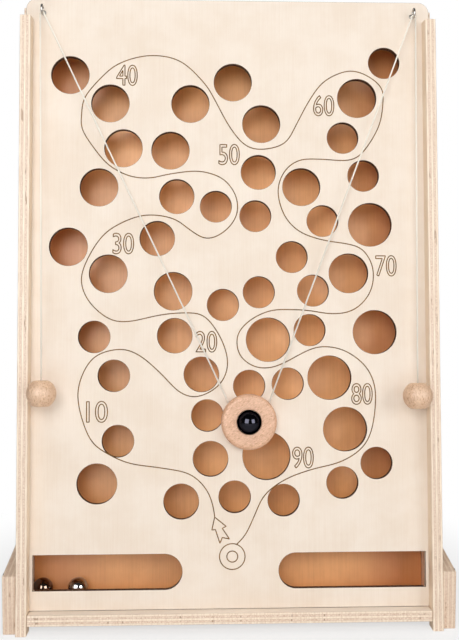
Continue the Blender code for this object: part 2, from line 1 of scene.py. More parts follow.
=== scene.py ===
"""Tabletop ball-lifting hole game: the finished looks of every piece, laid out as a small add-on.

Places on the playfield are written (across, up, out): metres from the middle of its bottom edge, up its
face, and out of its front.
"""

import json
import math

import bmesh
import bpy
from bpy.props import FloatProperty, FloatVectorProperty, IntProperty, PointerProperty
from mathutils import Matrix, Vector


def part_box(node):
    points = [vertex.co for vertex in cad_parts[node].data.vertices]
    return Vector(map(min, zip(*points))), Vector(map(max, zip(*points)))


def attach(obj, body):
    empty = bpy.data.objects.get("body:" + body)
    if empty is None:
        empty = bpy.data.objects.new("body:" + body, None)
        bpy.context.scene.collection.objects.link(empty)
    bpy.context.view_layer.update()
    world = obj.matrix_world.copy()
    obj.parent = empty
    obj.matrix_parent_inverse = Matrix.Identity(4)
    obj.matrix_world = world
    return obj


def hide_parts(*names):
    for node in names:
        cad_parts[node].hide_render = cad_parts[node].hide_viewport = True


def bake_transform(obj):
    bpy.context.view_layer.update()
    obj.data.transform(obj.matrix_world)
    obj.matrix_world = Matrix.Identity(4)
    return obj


bl_info = {
    "name": "Ball Lifting Game",
    "version": (1, 0, 0),
    "blender": (4, 5, 0),
    "location": "View3D > Sidebar > Ball Game",
    "description": "Plywood hole board with a ring carrier, pull beads, cords and steel balls",
    "category": "Object",
}

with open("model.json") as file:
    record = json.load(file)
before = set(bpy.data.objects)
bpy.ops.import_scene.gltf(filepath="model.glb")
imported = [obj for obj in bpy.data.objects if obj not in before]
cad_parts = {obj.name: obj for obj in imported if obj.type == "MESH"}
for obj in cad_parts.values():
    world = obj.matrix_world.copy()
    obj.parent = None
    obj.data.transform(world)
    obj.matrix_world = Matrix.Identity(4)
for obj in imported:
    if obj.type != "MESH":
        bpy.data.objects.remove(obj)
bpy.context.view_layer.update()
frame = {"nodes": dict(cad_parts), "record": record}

# The playfield's own directions, from the way the carrier slides
LIFT = [j for j in frame["record"]["behaviour"]["joints"] if j["name"] == "carrier_lift"][0]
UP = Vector(LIFT["axis"]).normalized()
ACROSS = Vector((1, 0, 0))
OUT = ACROSS.cross(UP)
LEAN = math.atan2(UP.y, UP.z)

GAP = 0.0003
BOARD_THICK = 0.006
BOARD_NODES = sorted(node for node in frame["nodes"] if node.startswith("play_board"))
BOARD_LOW = min((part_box(node)[0] for node in BOARD_NODES), key=lambda corner: corner.z)
ORIGIN = Vector((0, BOARD_LOW.y, BOARD_LOW.z)) - GAP * UP
ORIGIN.z += BOARD_THICK * math.sin(LEAN)
BOARD = Matrix.Translation(ORIGIN) @ Matrix((ACROSS, UP, OUT)).transposed().to_4x4()

BOARD_HALF = 0.1882
HEAD_HALF = 0.193
HEAD_SHOULDER = 0.5578
HEAD_TOP = 0.576
HEAD_CORNER = 0.010

# Round traps in millimetres (across, up), grouped by diameter
TRAPS = {
    30: (
        (149, 516.5), (108.5, 443.5), (-13, 377), (-6.5, 283.5), (24.5, 368), (128, 407),
        (88.5, 363.5), (59, 329), (79, 297), (27.5, 295.5), (-127.5, 253.5), (-109, 217),
        (-105, 156), (-21.5, 179.5), (4, 103.5), (75.5, 259.5), (18, 207), (54.5, 209),
        (138, 134), (105.5, 116), (50, 100),
    ),
    33: (
        (-50, 386.5), (-68.5, 346.5), (27.5, 410), (-52, 254.5), (-27, 218), (-18.5, 139),
        (-46, 99.5),
    ),
    36: (
        (-151, 502.5), (-113, 475.5), (-37, 475.5), (-100.5, 432.5), (-56, 430.5), (3.5, 496.5),
        (30.5, 456.5), (-123.5, 395), (68.5, 396), (-152, 338.5), (-114.5, 313), (-53.5, 296.5),
    ),
    37.5: ((122.5, 482), (113, 313.5), (-124.5, 116.5)),
    41.5: ((134, 360), (36, 250.5), (137.5, 257.5), (94, 214.5), (108.5, 166)),
    45: ((34, 141.5),),
}

WINDOW_BOTTOM = 0.0184
WINDOW_TOP = 0.0512
WINDOW_SIDE = 0.1834
WINDOW_INNER = 0.045

# Engraving in millimetres (across, up)
START_RING = (1.6, 48.2)
ARROW = (
    (-14.8, 84.9), (-4.1, 76.2), (-7.7, 74.4), (-1.0, 64.5),
    (-7.7, 65.9), (-9.9, 60.5), (-14.1, 73.3), (-17.4, 72.9),
)
NUMBERS = {
    "10": (-124.6, 183.4), "20": (-22.2, 248.7), "30": (-100.5, 341.6), "40": (-97.4, 502.7),
    "50": (-0.3, 427), "60": (90.6, 474.7), "70": (149, 320.7), "80": (124.8, 199),
    "90": (68.4, 139.6),
}
COURSE = (
    (-14.8, 85.2), (-16, 94), (-22, 110), (-38, 125), (-66, 131), (-93, 135), (-114, 144),
    (-131, 158), (-142, 191), (-140, 214), (-127, 235), (-103, 242), (-85, 236), (-66, 220),
    (-47, 201), (-30, 197), (-10, 208), (-2, 227), (-8, 251), (-24, 273), (-42, 276),
    (-66, 274), (-94, 268), (-113, 270), (-132, 286), (-140, 306), (-134, 327), (-118, 351),
    (-94, 365), (-74, 369), (-52, 365), (-38, 355), (-22, 346), (-5, 353), (7, 369),
    (6, 388), (-5, 403), (-19, 409), (-33, 411), (-57, 408), (-76, 404), (-95, 406),
    (-114, 416), (-128, 432), (-140, 451), (-140, 465), (-138, 480), (-123, 499),
    (-105, 514), (-76, 522), (-47, 517), (-24, 496), (-14, 480), (0, 454), (15, 436),
    (31, 432), (53, 438), (64, 456), (77, 480), (92, 499), (116, 509), (135, 503),
    (147, 492), (148, 480), (144, 456), (129, 431), (115, 422), (86, 423), (67, 422),
    (53, 412), (46, 393), (52, 369), (67, 353), (90, 345), (110, 342), (126, 337),
    (136, 321), (136, 302), (128, 287), (114, 277), (95, 275), (76, 278), (57, 279),
    (38, 278), (19, 269), (7, 255), (9, 236), (23, 225), (38, 224), (52, 229), (75, 241),
    (90, 244), (109, 240), (128, 226), (137, 207), (137, 183), (132, 160), (122, 146),
    (103, 135), (75, 128), (51, 119), (32, 105), (23, 87), (14, 68), (5.6, 59.4),
)

START_RING_RADII = ((11.9, 64), (5.1, 40))
GROOVE_DEPTH = 0.00002
GROOVE_LIFT = 0.00003

# Plywood sheets: the finish, the way the sheet's face looks, its thickness, its plies, where it starts along
# that way, its tint, and what else the finish needs
RAIL_IN = 0.1862
RAIL_THICK = 0.010
FOOT_IN = 0.1965
FOOT_THICK = 0.012
CAP_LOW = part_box("top_rail")[0].z
# Painted shade: the feet's ply edges are pulled part way towards the tan ply colour
UPRIGHT_EDGE_SHADE = {"leaning_back": False, "edge_shade": 0.3}
# Painted shade: the panel tint on the tray floor, cleats and rear panel and the rail tint on the side rails
# are darker, browner copies of the face veneer
SHEETS = {
    "side_rail_left": (
        "rail_ply_left", "across", RAIL_THICK, 5, -RAIL_IN - RAIL_THICK, "rail", {"seed": 1.3}
    ),
    "side_rail_right": ("rail_ply_right", "across", RAIL_THICK, 5, RAIL_IN, "rail", {"seed": 6.1}),
    "foot_left": (
        "foot_ply_left", "across", FOOT_THICK, 6, -FOOT_IN - FOOT_THICK, None, {"seed": 2.2, **UPRIGHT_EDGE_SHADE}
    ),
    "foot_right": ("foot_ply_right", "across", FOOT_THICK, 6, FOOT_IN, None, {"seed": 4.9, **UPRIGHT_EDGE_SHADE}),
    "bottom_rail": ("ledge_ply", "up", 0.010, 5, -0.010, None, {"along": 0, "seed": 8.3}),
    "tray_floor": ("tray_ply", "up", 0.006, 3, -0.001, "panel", {"along": 0, "seed": 5.5}),
    "side_cleat_left": ("cleat_ply_left", "across", 0.010, 5, -0.188, "panel", {"seed": 3.1}),
    "side_cleat_right": ("cleat_ply_right", "across", 0.010, 5, 0.178, "panel", {"seed": 7.7}),
    "back_panel": ("rear_ply", "out", 0.004, 3, -0.038, "panel", {"seed": 9.4}),
    "top_rail": (
        "cap_ply", "level", 0.012, 5, CAP_LOW, None, {"along": 0, "leaning_back": False, "seed": 2.8}
    ),
}

# Painted shade: the rear panel's face is painted darker towards its sides, between two distances from the
# middle, where the box's sides shade it; the back of the panel shows it too
PANEL_SHADE_FROM = 0.105
PANEL_SHADE_FULL = 0.165
PANEL_SHADE_MOST = 0.55
PANEL_SHADE_TONE = 0.62

# Camera: its turn from square to the playfield round across, up and out in radians, and its place
CAMERA_TURN = (0.04346, -0.03417, -0.00294)
CAMERA_PLACE = (-0.0277, 0.2346, 0.7971)
LAMP_TARGET = (0, 0.27, 0)

# Screw eyes, cords, carrier and beads
EYE_ACROSS = 0.1763
EYE_UP = 0.562
EYE_OUT = 0.009
EYE_RADIUS = 0.004
EYE_WIRE = 0.00095
BEND_RADIUS = 0.0018
CARRIER = Vector((0.0173, 0.1738, 0.0063))
CARRIER_RADIUS = 0.026
CARRIER_HOLE = 0.0115
CARRIER_THICK = 0.012
CARRIER_BALL = 0.011
TIE_ANGLE = math.radians(41.0)
TIE_RADIUS = 0.024
BEAD_RADIUS = 0.0135
BEAD_HEIGHT = 0.0235
BEAD_BORE = 0.0018
BEAD_CORD_DEPTH = 0.006
BEADS = {"left": Vector((-0.1724, 0.2016, 0.022)), "right": Vector((0.1724, 0.1980, 0.022))}
TRAY_BALL = 0.00975
# Painted shade and reflection: the darker, browner tone given to the first loose ball's steel
SHADED_BROWN_TONE = (0.42, 0.3, 0.24)
SIDES = {"left": -1, "right": 1}


# ---------------------------------------------------------------- shapes


def leaning(across, up, out):
    """A place on the playfield as a point in the row frame."""
    return BOARD @ Vector((across, up, out))


def linked(name, data):
    """A new object in the scene."""
    made = bpy.data.objects.new(name, data)
    bpy.context.scene.collection.objects.link(made)
    return made


def shown(name, mesh, body, nodes=(), place=None):
    """Put a finished mesh in the scene at the origin, on its body, in place of its CAD nodes."""
    if place is not None:
        mesh.transform(place)
    piece = linked(name, mesh)
    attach(piece, body)
    if nodes:
        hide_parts(*nodes)
    return piece


def from_bmesh(name, bm, smooth_angle=40.0):
    bmesh.ops.remove_doubles(bm, verts=bm.verts, dist=1e-7)
    bmesh.ops.recalc_face_normals(bm, faces=bm.faces)
    mesh = bpy.data.meshes.new(name)
    bm.to_mesh(mesh)
    bm.free()
    mesh.shade_smooth()
    mesh.set_sharp_from_angle(angle=math.radians(smooth_angle))
    return mesh


def lathe(bm, profile, steps, closed=False):
    """Turn (radius, height) pairs round Z. An open profile starts and ends on the axis."""
    rings = []
    for radius, height in profile:
        if radius < 1e-9:
            rings.append([bm.verts.new((0, 0, height))])
            continue
        ring = []
        for i in range(steps):
            angle = math.tau * i / steps
            ring.append(bm.verts.new((radius * math.cos(angle), radius * math.sin(angle), height)))
        rings.append(ring)
    pairs = list(zip(rings, rings[1:]))
    if closed:
        pairs.append((rings[-1], rings[0]))
    for low, high in pairs:
        for i in range(steps):
            j = (i + 1) % steps
            corners = []
            for vert in (low[i % len(low)], low[j % len(low)], high[j % len(high)], high[i % len(high)]):
                if vert not in corners:
                    corners.append(vert)
            if len(corners) > 2:
                bm.faces.new(corners)


def arc(centre, radius, start, end, steps):
    """Points in degrees round a centre, both ends included."""
    points = []
    for i in range(steps + 1):
        angle = math.radians(start + (end - start) * i / steps)
        points.append((centre[0] + radius * math.cos(angle), centre[1] + radius * math.sin(angle)))
    return points


def tube(name, path, radius, sides, caps=True):
    """A closed tube, one ring at each point of its path. Its UV map runs round it, and along it in metres."""
    bm = bmesh.new()
    wrap = bm.loops.layers.uv.new("along")
    first = (path[1] - path[0]).normalized()
    across = first.orthogonal().normalized()
    rings, reach, lengths = [], 0.0, []
    for k, point in enumerate(path):
        before = path[max(k - 1, 0)]
        after = path[min(k + 1, len(path) - 1)]
        ahead = (after - before).normalized()
        across = (across - ahead * across.dot(ahead)).normalized()
        side = ahead.cross(across)
        if k:
            reach += (point - before).length
        lengths.append(reach)
        ring = []
        for i in range(sides):
            angle = math.tau * i / sides
            ring.append(bm.verts.new(point + radius * (across * math.cos(angle) + side * math.sin(angle))))
        rings.append(ring)
    for k in range(len(rings) - 1):
        for i in range(sides):
            j = (i + 1) % sides
            face = bm.faces.new((rings[k][i], rings[k][j], rings[k + 1][j], rings[k + 1][i]))
            spots = ((i, k), (i + 1, k), (i + 1, k + 1), (i, k + 1))
            for loop, (turn, row) in zip(face.loops, spots):
                loop[wrap].uv = (turn / sides, lengths[row])
    if caps:
        bm.faces.new(list(reversed(rings[0])))
        bm.faces.new(rings[-1])
    bmesh.ops.recalc_face_normals(bm, faces=bm.faces)
    mesh = bpy.data.meshes.new(name)
    bm.to_mesh(mesh)
    bm.free()
    mesh.shade_smooth()
    return mesh


def smooth_course(points, step):
    """A rounded line through all the points, sampled about every step."""
    points = [Vector(p) for p in points]
    line = []
    last = len(points) - 1
    for k in range(last):
        a = points[max(k - 1, 0)]
        b, c = points[k], points[k + 1]
        d = points[min(k + 2, last)]
        count = max(2, round((c - b).length / step))
        for i in range(count):
            t = i / count
            line.append(
                0.5
                * (
                    2 * b
                    + (c - a) * t
                    + (2 * a - 5 * b + 4 * c - d) * t * t
                    + (3 * b - a - 3 * c + d) * t * t * t
                )
            )
    line.append(points[-1])
    return line


def eased(points, passes):
    """The same line with its small kinks eased out, both ends kept."""
    for _count in range(passes):
        inner = [(a + 2 * b + c) / 4 for a, b, c in zip(points, points[1:], points[2:])]
        points = [points[0], *inner, points[-1]]
    return points


def mesh_of(piece):
    """The evaluated shape of an object as a plain mesh."""
    graph = bpy.context.evaluated_depsgraph_get()
    graph.update()
    return bpy.data.meshes.new_from_object(piece.evaluated_get(graph))


# ---------------------------------------------------------------- node trees


class Value:
    """A node's output that can be added, multiplied and compared as a number."""

    def __init__(self, graph, socket):
        self.graph = graph
        self.socket = socket

    def math(self, operation, *others):
        return self.graph.math(operation, self, *others)

    def __add__(self, other):
        return self.math("ADD", other)

    __radd__ = __add__

    def __sub__(self, other):
        return self.math("SUBTRACT", other)

    def __rsub__(self, other):
        return self.graph.math("SUBTRACT", other, self)

    def __mul__(self, other):
        return self.math("MULTIPLY", other)

    __rmul__ = __mul__

    def __truediv__(self, other):
        return self.math("DIVIDE", other)

    def clamped(self):
        return self.math("MAXIMUM", 0.0).math("MINIMUM", 1.0)


class Finish:
    """A material built on Object coordinates turned into the playfield's own directions."""

    def __init__(self, name, roughness=0.5, metallic=0.0, **constants):
        self.material = bpy.data.materials.new(name)
        self.material.use_nodes = True
        self.tree = self.material.node_tree
        self.shader = self.tree.nodes["Principled BSDF"]
        self.shader.inputs["Roughness"].default_value = roughness
        self.shader.inputs["Metallic"].default_value = metallic
        for key, value in constants.items():
            self.shader.inputs[key.replace("_", " ")].default_value = value
        self.coords = self.tree.nodes.new("ShaderNodeTexCoord")

    def add(self, kind, feeds=None, output=0, **settings):
        """Any node: its settings, what feeds it, and the output that is wanted."""
        node = self.tree.nodes.new(kind)
        for key, value in settings.items():
            setattr(node, key, value)
        for key, value in (feeds or {}).items():
            if isinstance(value, Value):
                self.tree.links.new(value.socket, node.inputs[key])
            else:
                node.inputs[key].default_value = value
        return Value(self, node.outputs[output])

    def math(self, operation, *values):
        return self.add("ShaderNodeMath", dict(enumerate(values)), operation=operation)

    def place(self, leaning_back=True):
        """Object coordinates in metres: (across, up, out) where the piece leans with the playfield."""
        spot = Value(self, self.coords.outputs["Object"])
        if not leaning_back:
            return spot
        turned = {
            "Vector": spot,
            "Location": tuple(ORIGIN),
            "Rotation": (math.pi / 2 - LEAN, 0, 0),
        }
        return self.add("ShaderNodeMapping", turned, vector_type="TEXTURE")

    def facing(self, direction):
        """How squarely the surface faces along a direction, either way: 0 edge on, 1 flat on."""
        normal = Value(self, self.coords.outputs["Normal"])
        feeds = {0: normal, 1: tuple(direction)}
        dot = self.add("ShaderNodeVectorMath", feeds, output="Value", operation="DOT_PRODUCT")
        return dot.math("ABSOLUTE")

    def split(self, vector):
        node = self.tree.nodes.new("ShaderNodeSeparateXYZ")
        self.tree.links.new(vector.socket, node.inputs[0])
        return [Value(self, out) for out in node.outputs]

    def stretch(self, vector, scale):
        feeds = {0: vector, 1: scale}
        return self.add("ShaderNodeVectorMath", feeds, operation="MULTIPLY")

    def shift(self, vector, other):
        return self.add("ShaderNodeVectorMath", {0: vector, 1: other}, operation="ADD")

    def noise(self, vector, detail=3.0, roughness=0.5, distortion=0.0, scale=1.0):
        feeds = {
            "Vector": vector, "Scale": scale, "Detail": detail,
            "Roughness": roughness, "Distortion": distortion,
        }
        return self.add("ShaderNodeTexNoise", feeds, output="Fac")

    def cells(self, vector, output="Distance", **settings):
        return self.add("ShaderNodeTexVoronoi", {"Vector": vector, "Scale": 1.0}, output, **settings)

    def ramp(self, value, low, high, start=0.0, end=1.0):
        feeds = {"Value": value, "From Min": low, "From Max": high, "To Min": start, "To Max": end}
        return self.add("ShaderNodeMapRange", feeds, interpolation_type="SMOOTHSTEP")

    def mix(self, amount, first, second, blend="MIX"):
        """Two colours mixed. Colours are (r, g, b) or other nodes."""
        feeds = {0: amount}
        for key, colour in ((6, first), (7, second)):
            feeds[key] = colour if isinstance(colour, Value) else (*colour[:3], 1.0)
        return self.add("ShaderNodeMix", feeds, output=2, data_type="RGBA", blend_type=blend)

    def bump(self, height, strength, distance):
        feeds = {"Height": height, "Strength": strength, "Distance": distance}
        return self.add("ShaderNodeBump", feeds)

    def finish(self, colour=None, roughness=None, normal=None):
        feeds = {"Base Color": colour, "Roughness": roughness, "Normal": normal}
        for key, value in feeds.items():
            if value is not None:
                self.tree.links.new(value.socket, self.shader.inputs[key])
        return self.material


def geometry_tree(name, sizes):
    """An empty Geometry Nodes tree with named inputs. Sizes give each input's socket type and value."""
    tree = bpy.data.node_groups.new(name, "GeometryNodeTree")
    tree.interface.new_socket("Geometry", in_out="INPUT", socket_type="NodeSocketGeometry")
    tree.interface.new_socket("Geometry", in_out="OUTPUT", socket_type="NodeSocketGeometry")
    for label, (socket_type, _value) in sizes.items():
        tree.interface.new_socket(label, in_out="INPUT", socket_type=socket_type)
    return tree


def grow(tree, kind, feeds=None, **settings):
    """Add a node to a Geometry Nodes tree and link or set its inputs."""
    node = tree.nodes.new(kind)
    for key, value in settings.items():
        setattr(node, key, value)
    for key, value in (feeds or {}).items():
        if isinstance(value, bpy.types.NodeSocket):
            tree.links.new(value, node.inputs[key])
        else:
            node.inputs[key].default_value = value
    return node


def run_tree(guide_mesh, tree, sizes, name):
    """Run a tree on a guide mesh and return the result as a plain mesh."""
    guide = linked(name + "_guide", guide_mesh)
    setup = guide.modifiers.new(tree.name, "NODES")
    setup.node_group = tree
    for item in tree.interface.items_tree:
        if item.item_type == "SOCKET" and item.in_out == "INPUT" and item.name in sizes:
            setup[item.identifier] = sizes[item.name][1]
    mesh = mesh_of(guide)
    guide.modifiers.remove(setup)
    bpy.data.objects.remove(guide)
    mesh.name = name
    return mesh


# ---------------------------------------------------------------- settings


def colour_setting(name, description, default):
    return FloatVectorProperty(
        name=name, description=description, subtype="COLOR", size=3, min=0, max=1, default=default
    )


def length_setting(name, description, default):
    return FloatProperty(
        name=name, description=description, default=default, min=0, unit="LENGTH", precision=5
    )


def power_setting(name, description, default):
    return FloatProperty(name=name, description=description, default=default, unit="POWER")


class WoodSettings(bpy.types.PropertyGroup):
    """Colours of the plywood, beech and bead wood."""

    face: colour_setting("Face veneer", "Varnished birch face", (0.93, 0.822, 0.712))
    face_streak: colour_setting("Face streak", "Darker growth streaks in the face", (0.80, 0.645, 0.50))
    long_ply: colour_setting("Pale ply", "Edge of a ply that runs along the edge", (0.96, 0.82, 0.66))
    end_ply: colour_setting("Tan ply", "End grain of a cross ply", (0.64, 0.42, 0.29))
    glue: colour_setting("Glue line", "Thin dark line between plies", (0.42, 0.26, 0.16))
    burn: colour_setting("Laser burn", "Charred walls of the traps and windows", (0.060, 0.022, 0.007))
    line: colour_setting("Engraved line", "Burnt floor of the engraved lines", (0.19, 0.090, 0.018))
    # Painted shade: the rail colours are a darker, warmer copy of the face veneer, standing in for the shade
    # on the rails' inner faces; their outer faces get it too
    rail: colour_setting("Rail face", "Inner and outer faces of the side rails", (0.90, 0.745, 0.575))
    rail_streak: colour_setting("Rail streak", "Grain of the side rails' faces", (0.76, 0.57, 0.40))
    # Painted shade and bounced light: the rear panel colours, also used on the tray floor and cleats, are a
    # darker, more saturated copy of the face veneer
    panel: colour_setting("Rear panel", "Brown face of the rear panel", (0.93, 0.475, 0.175))
    panel_streak: colour_setting("Rear panel streak", "Darker streaks in the rear panel", (0.64, 0.27, 0.080))
    beech: colour_setting("Beech", "Turned carrier ring", (0.80, 0.49, 0.32))
    beech_fleck: colour_setting("Beech fleck", "Short dark rays in the beech", (0.56, 0.28, 0.15))
    bead: colour_setting("Bead wood", "Turned pull beads", (0.83, 0.585, 0.40))
    bead_grain: colour_setting("Bead grain", "Darker grain in the beads", (0.55, 0.30, 0.17))


class DetailSettings(bpy.types.PropertyGroup):
    """Sizes of the small details."""

    line_width: length_setting("Line width", "Width of an engraved line", 0.0010)
    number_size: length_setting("Number size", "Height and width of an engraved number", 0.0195)
    edge_round: length_setting("Edge round", "Charred, softened edge of the playfield", 0.00022)
    cord_radius: length_setting("Cord radius", "Half the cord's thickness", 0.00075)
    screw_head: length_setting("Screw head", "Radius of a screw head", 0.0031)
    trap_sides: IntProperty(name="Trap sides", description="Sides of a round trap", default=96, min=24)


class MetalSettings(bpy.types.PropertyGroup):
    """Colours of the steel pieces and the cord."""

    steel: colour_setting("Steel", "Polished loose balls", (0.40, 0.385, 0.37))
    dark_steel: colour_setting("Dark steel", "The carried ball", (0.026, 0.026, 0.034))
    zinc: colour_setting("Zinc", "Screws and screw eyes", (0.50, 0.48, 0.45))
    cord: colour_setting("Cord", "White braided cord", (1.0, 0.94, 0.84))


class StageSettings(bpy.types.PropertyGroup):
    """Lamps, room light and lens."""

    key: power_setting("Key lamp", "Power of the upper left softbox", 7.5)
    top: power_setting("Top lamp", "Power of the overhead softbox", 5.0)
    fill: power_setting("Fill lamp", "Power of the right softbox", 7.3)
    left: power_setting("Left window", "Power of the left panel, seen only in reflections", 27.0)
    right: power_setting("Right window", "Power of the right panel, seen only in reflections", 21.0)
    sky: FloatProperty(name="Room light", description="Strength of the room's own light", default=0.235)
    lens: FloatProperty(name="Lens", description="Focal length in millimetres", default=47.54)


class GameSettings(bpy.types.PropertyGroup):
    """All the settings of the game."""

    wood: PointerProperty(type=WoodSettings, name="Wood", description="Wood colours")
    detail: PointerProperty(type=DetailSettings, name="Detail", description="Small sizes")
    metal: PointerProperty(type=MetalSettings, name="Metal", description="Metal and cord colours")
    stage: PointerProperty(type=StageSettings, name="Stage", description="Lamps and camera")


# ---------------------------------------------------------------- finishes


def grain_face(mat, spot, base, streak, seed, along=1, contrast=1.0):
    """Rotary-cut veneer: broad figure, fine fibres and a few pores along one direction."""
    broad_scale, fine_scale, pore_scale = [38.0] * 3, [900.0] * 3, [1500.0] * 3
    broad_scale[along], fine_scale[along], pore_scale[along] = 2.2, 16.0, 130.0
    moved = mat.shift(spot, (seed, seed * 0.7, seed * 0.3))
    broad = mat.noise(mat.stretch(moved, tuple(broad_scale)), detail=3, distortion=0.7)
    bands = mat.ramp((broad * 9.0).math("SINE"), -1.0, 1.0)
    fine = mat.noise(mat.stretch(moved, tuple(fine_scale)), detail=4, roughness=0.65)
    pores = mat.ramp(mat.noise(mat.stretch(moved, tuple(pore_scale)), detail=2), 0.66, 0.76)
    cloud = mat.noise(mat.stretch(moved, (24.0, 24.0, 24.0)), detail=3, roughness=0.6)
    cloud = mat.ramp(cloud, 0.3, 0.7)
    amount = bands * 0.06 + mat.ramp(fine, 0.3, 0.75) * 0.2 + pores * 0.25 + cloud * 0.34 - 0.06
    colour = mat.mix((amount * contrast).clamped(), base, streak)
    return colour, fine, pores


def ply_edge(mat, depth, spot, wood, thick, plies, seed):
    """The cut edge of plywood: pale and tan plies in turn, thin glue lines, and a few gaps painted dark as
    shade.
    """
    wobble = mat.noise(mat.stretch(spot, (45.0, 45.0, 45.0)), detail=2) - 0.5
    layer = depth * (plies / thick) + wobble * 0.16
    number = layer.math("FLOOR")
    odd = number.math("MODULO", 2.0).math("ABSOLUTE")
    within = layer.math("FRACT")
    edge = (within - 0.5).math("ABSOLUTE")
    line = mat.ramp(edge, 0.40, 0.49)
    ends = mat.noise(mat.stretch(mat.shift(spot, (seed, seed, seed)), (1400.0, 900.0, 1400.0)), detail=3)
    fibres = mat.noise(mat.stretch(spot, (700.0, 60.0, 700.0)), detail=3)
    pale = mat.mix(mat.ramp(fibres, 0.3, 0.8, 0.0, 0.5), wood.long_ply, wood.end_ply)
    tan = mat.mix(mat.ramp(ends, 0.3, 0.7, 0.15, 0.95), wood.long_ply, wood.end_ply)
    colour = mat.mix(odd, pale, tan)
    # Painted shade: a few gaps in the tan plies are painted dark, with no hollow cut
    gaps = mat.noise(mat.stretch(mat.shift(spot, (seed * 2, 0.1, 0.2)), (260.0, 55.0, 260.0)), detail=2)
    dark = (mat.ramp(gaps, 0.62, 0.70) * odd * 0.8 + line * 0.55).clamped()
    return mat.mix(dark, colour, wood.glue), ends, line


def plywood(
    name, wood, normal, thick, plies, low, along=1, leaning_back=True, seed=1.0, tint=None, edge_shade=0.0
):
    """A sheet of plywood: veneer on its two faces and layered edges. low is where the sheet starts."""
    mat = Finish(name, Coat_Weight=0.12, Coat_Roughness=0.35)
    spot = mat.place(leaning_back)
    axis = {"across": ACROSS, "up": UP, "out": OUT, "level": Vector((0, 0, 1))}[normal]
    index = {"across": 0, "up": 1, "out": 2, "level": 2}[normal]
    depth = mat.split(spot)[index] - low
    base, streak = (tint or (tuple(wood.face), tuple(wood.face_streak)))
    contrast = 1.25 if tint else 1.0
    face, fine, pores = grain_face(mat, spot, base, streak, seed, along, contrast)
    edge, ends, line = ply_edge(mat, depth, spot, wood, thick, plies, seed)
    # Painted shade: the edges are pulled towards the tan ply colour by the given amount, on the feet
    edge = mat.mix(edge_shade, edge, wood.end_ply)
    flat = mat.ramp(mat.facing(axis), 0.75, 0.9)
    # Painted shade: the rear panel, the one sheet facing out, is painted darker towards its sides
    if normal == "out":
        away = mat.split(spot)[0].math("ABSOLUTE")
        side = mat.ramp(away, PANEL_SHADE_FROM, PANEL_SHADE_FULL, 0.0, PANEL_SHADE_MOST)
        face = mat.mix(side, face, tuple(c * c * PANEL_SHADE_TONE for c in base))
    colour = mat.mix(flat, edge, face)
    grain = (fine * 0.6 - pores * 0.5) * flat + (ends * 0.8 - line) * (1.0 - flat)
    rough = mat.ramp(fine, 0.2, 0.8, 0.42, 0.60) + (1.0 - flat) * 0.16
    return mat.finish(colour, rough, mat.bump(grain, 0.22, 0.0002))


def playfield_finish(wood):
    """The playfield: a pale varnished face, and laser-cut walls and rims charred brown."""
    mat = Finish("playfield_ply", Specular_IOR_Level=0.05)
    spot = mat.place()
    across, _up, out = mat.split(spot)
    face, fine, pores = grain_face(mat, spot, tuple(wood.face), tuple(wood.face_streak), 3.7)
    edge, ends, line = ply_edge(mat, out + BOARD_THICK, spot, wood, BOARD_THICK, 3, 2.0)
    soot = mat.noise(mat.stretch(spot, (900.0, 900.0, 150.0)), detail=3)
    middle = mat.ramp((out / BOARD_THICK + 0.5).math("ABSOLUTE"), 0.2, 0.42, 1.0, 0.0)
    # Painted light, partly real: the middle of the windows' end walls is left less charred, showing a paler
    # ply, and this pale strip also stands in for light falling on them
    thin = middle * mat.ramp(across.math("ABSOLUTE"), 0.1815, 0.183, 0.0, 0.85)
    edge = mat.mix(mat.ramp(soot, 0.2, 0.9, 0.99, 0.86) - thin, edge, tuple(wood.burn))
    flat = mat.ramp(mat.facing(OUT), 0.93, 0.97)
    colour = mat.mix(flat, edge, face)
    grain = (fine * 0.6 - pores * 0.5) * flat + (ends * 0.6 - line) * (1.0 - flat)
    rough = mat.ramp(fine, 0.2, 0.8, 0.42, 0.58) + (1.0 - flat) * 0.2
    return mat.finish(colour, rough, mat.bump(grain, 0.2, 0.0002))


def burnt_line_finish(wood):
    """The burnt floor of an engraved line, darker in places where the laser slowed."""
    mat = Finish("burnt_line", roughness=0.85, Specular_IOR_Level=0.1)
    spot = mat.place()
    slow = mat.noise(mat.stretch(spot, (160.0, 160.0, 160.0)), detail=3)
    ash = mat.noise(mat.stretch(spot, (2500.0, 2500.0, 2500.0)), detail=2)
    dark = tuple(c * 0.55 for c in wood.line)
    pale = tuple(min(1.0, c * 1.5) for c in wood.line)
    colour = mat.mix(mat.ramp(slow * 0.7 + ash * 0.3, 0.3, 0.7), dark, pale)
    return mat.finish(colour, None, mat.bump(ash, 0.4, 0.0001))


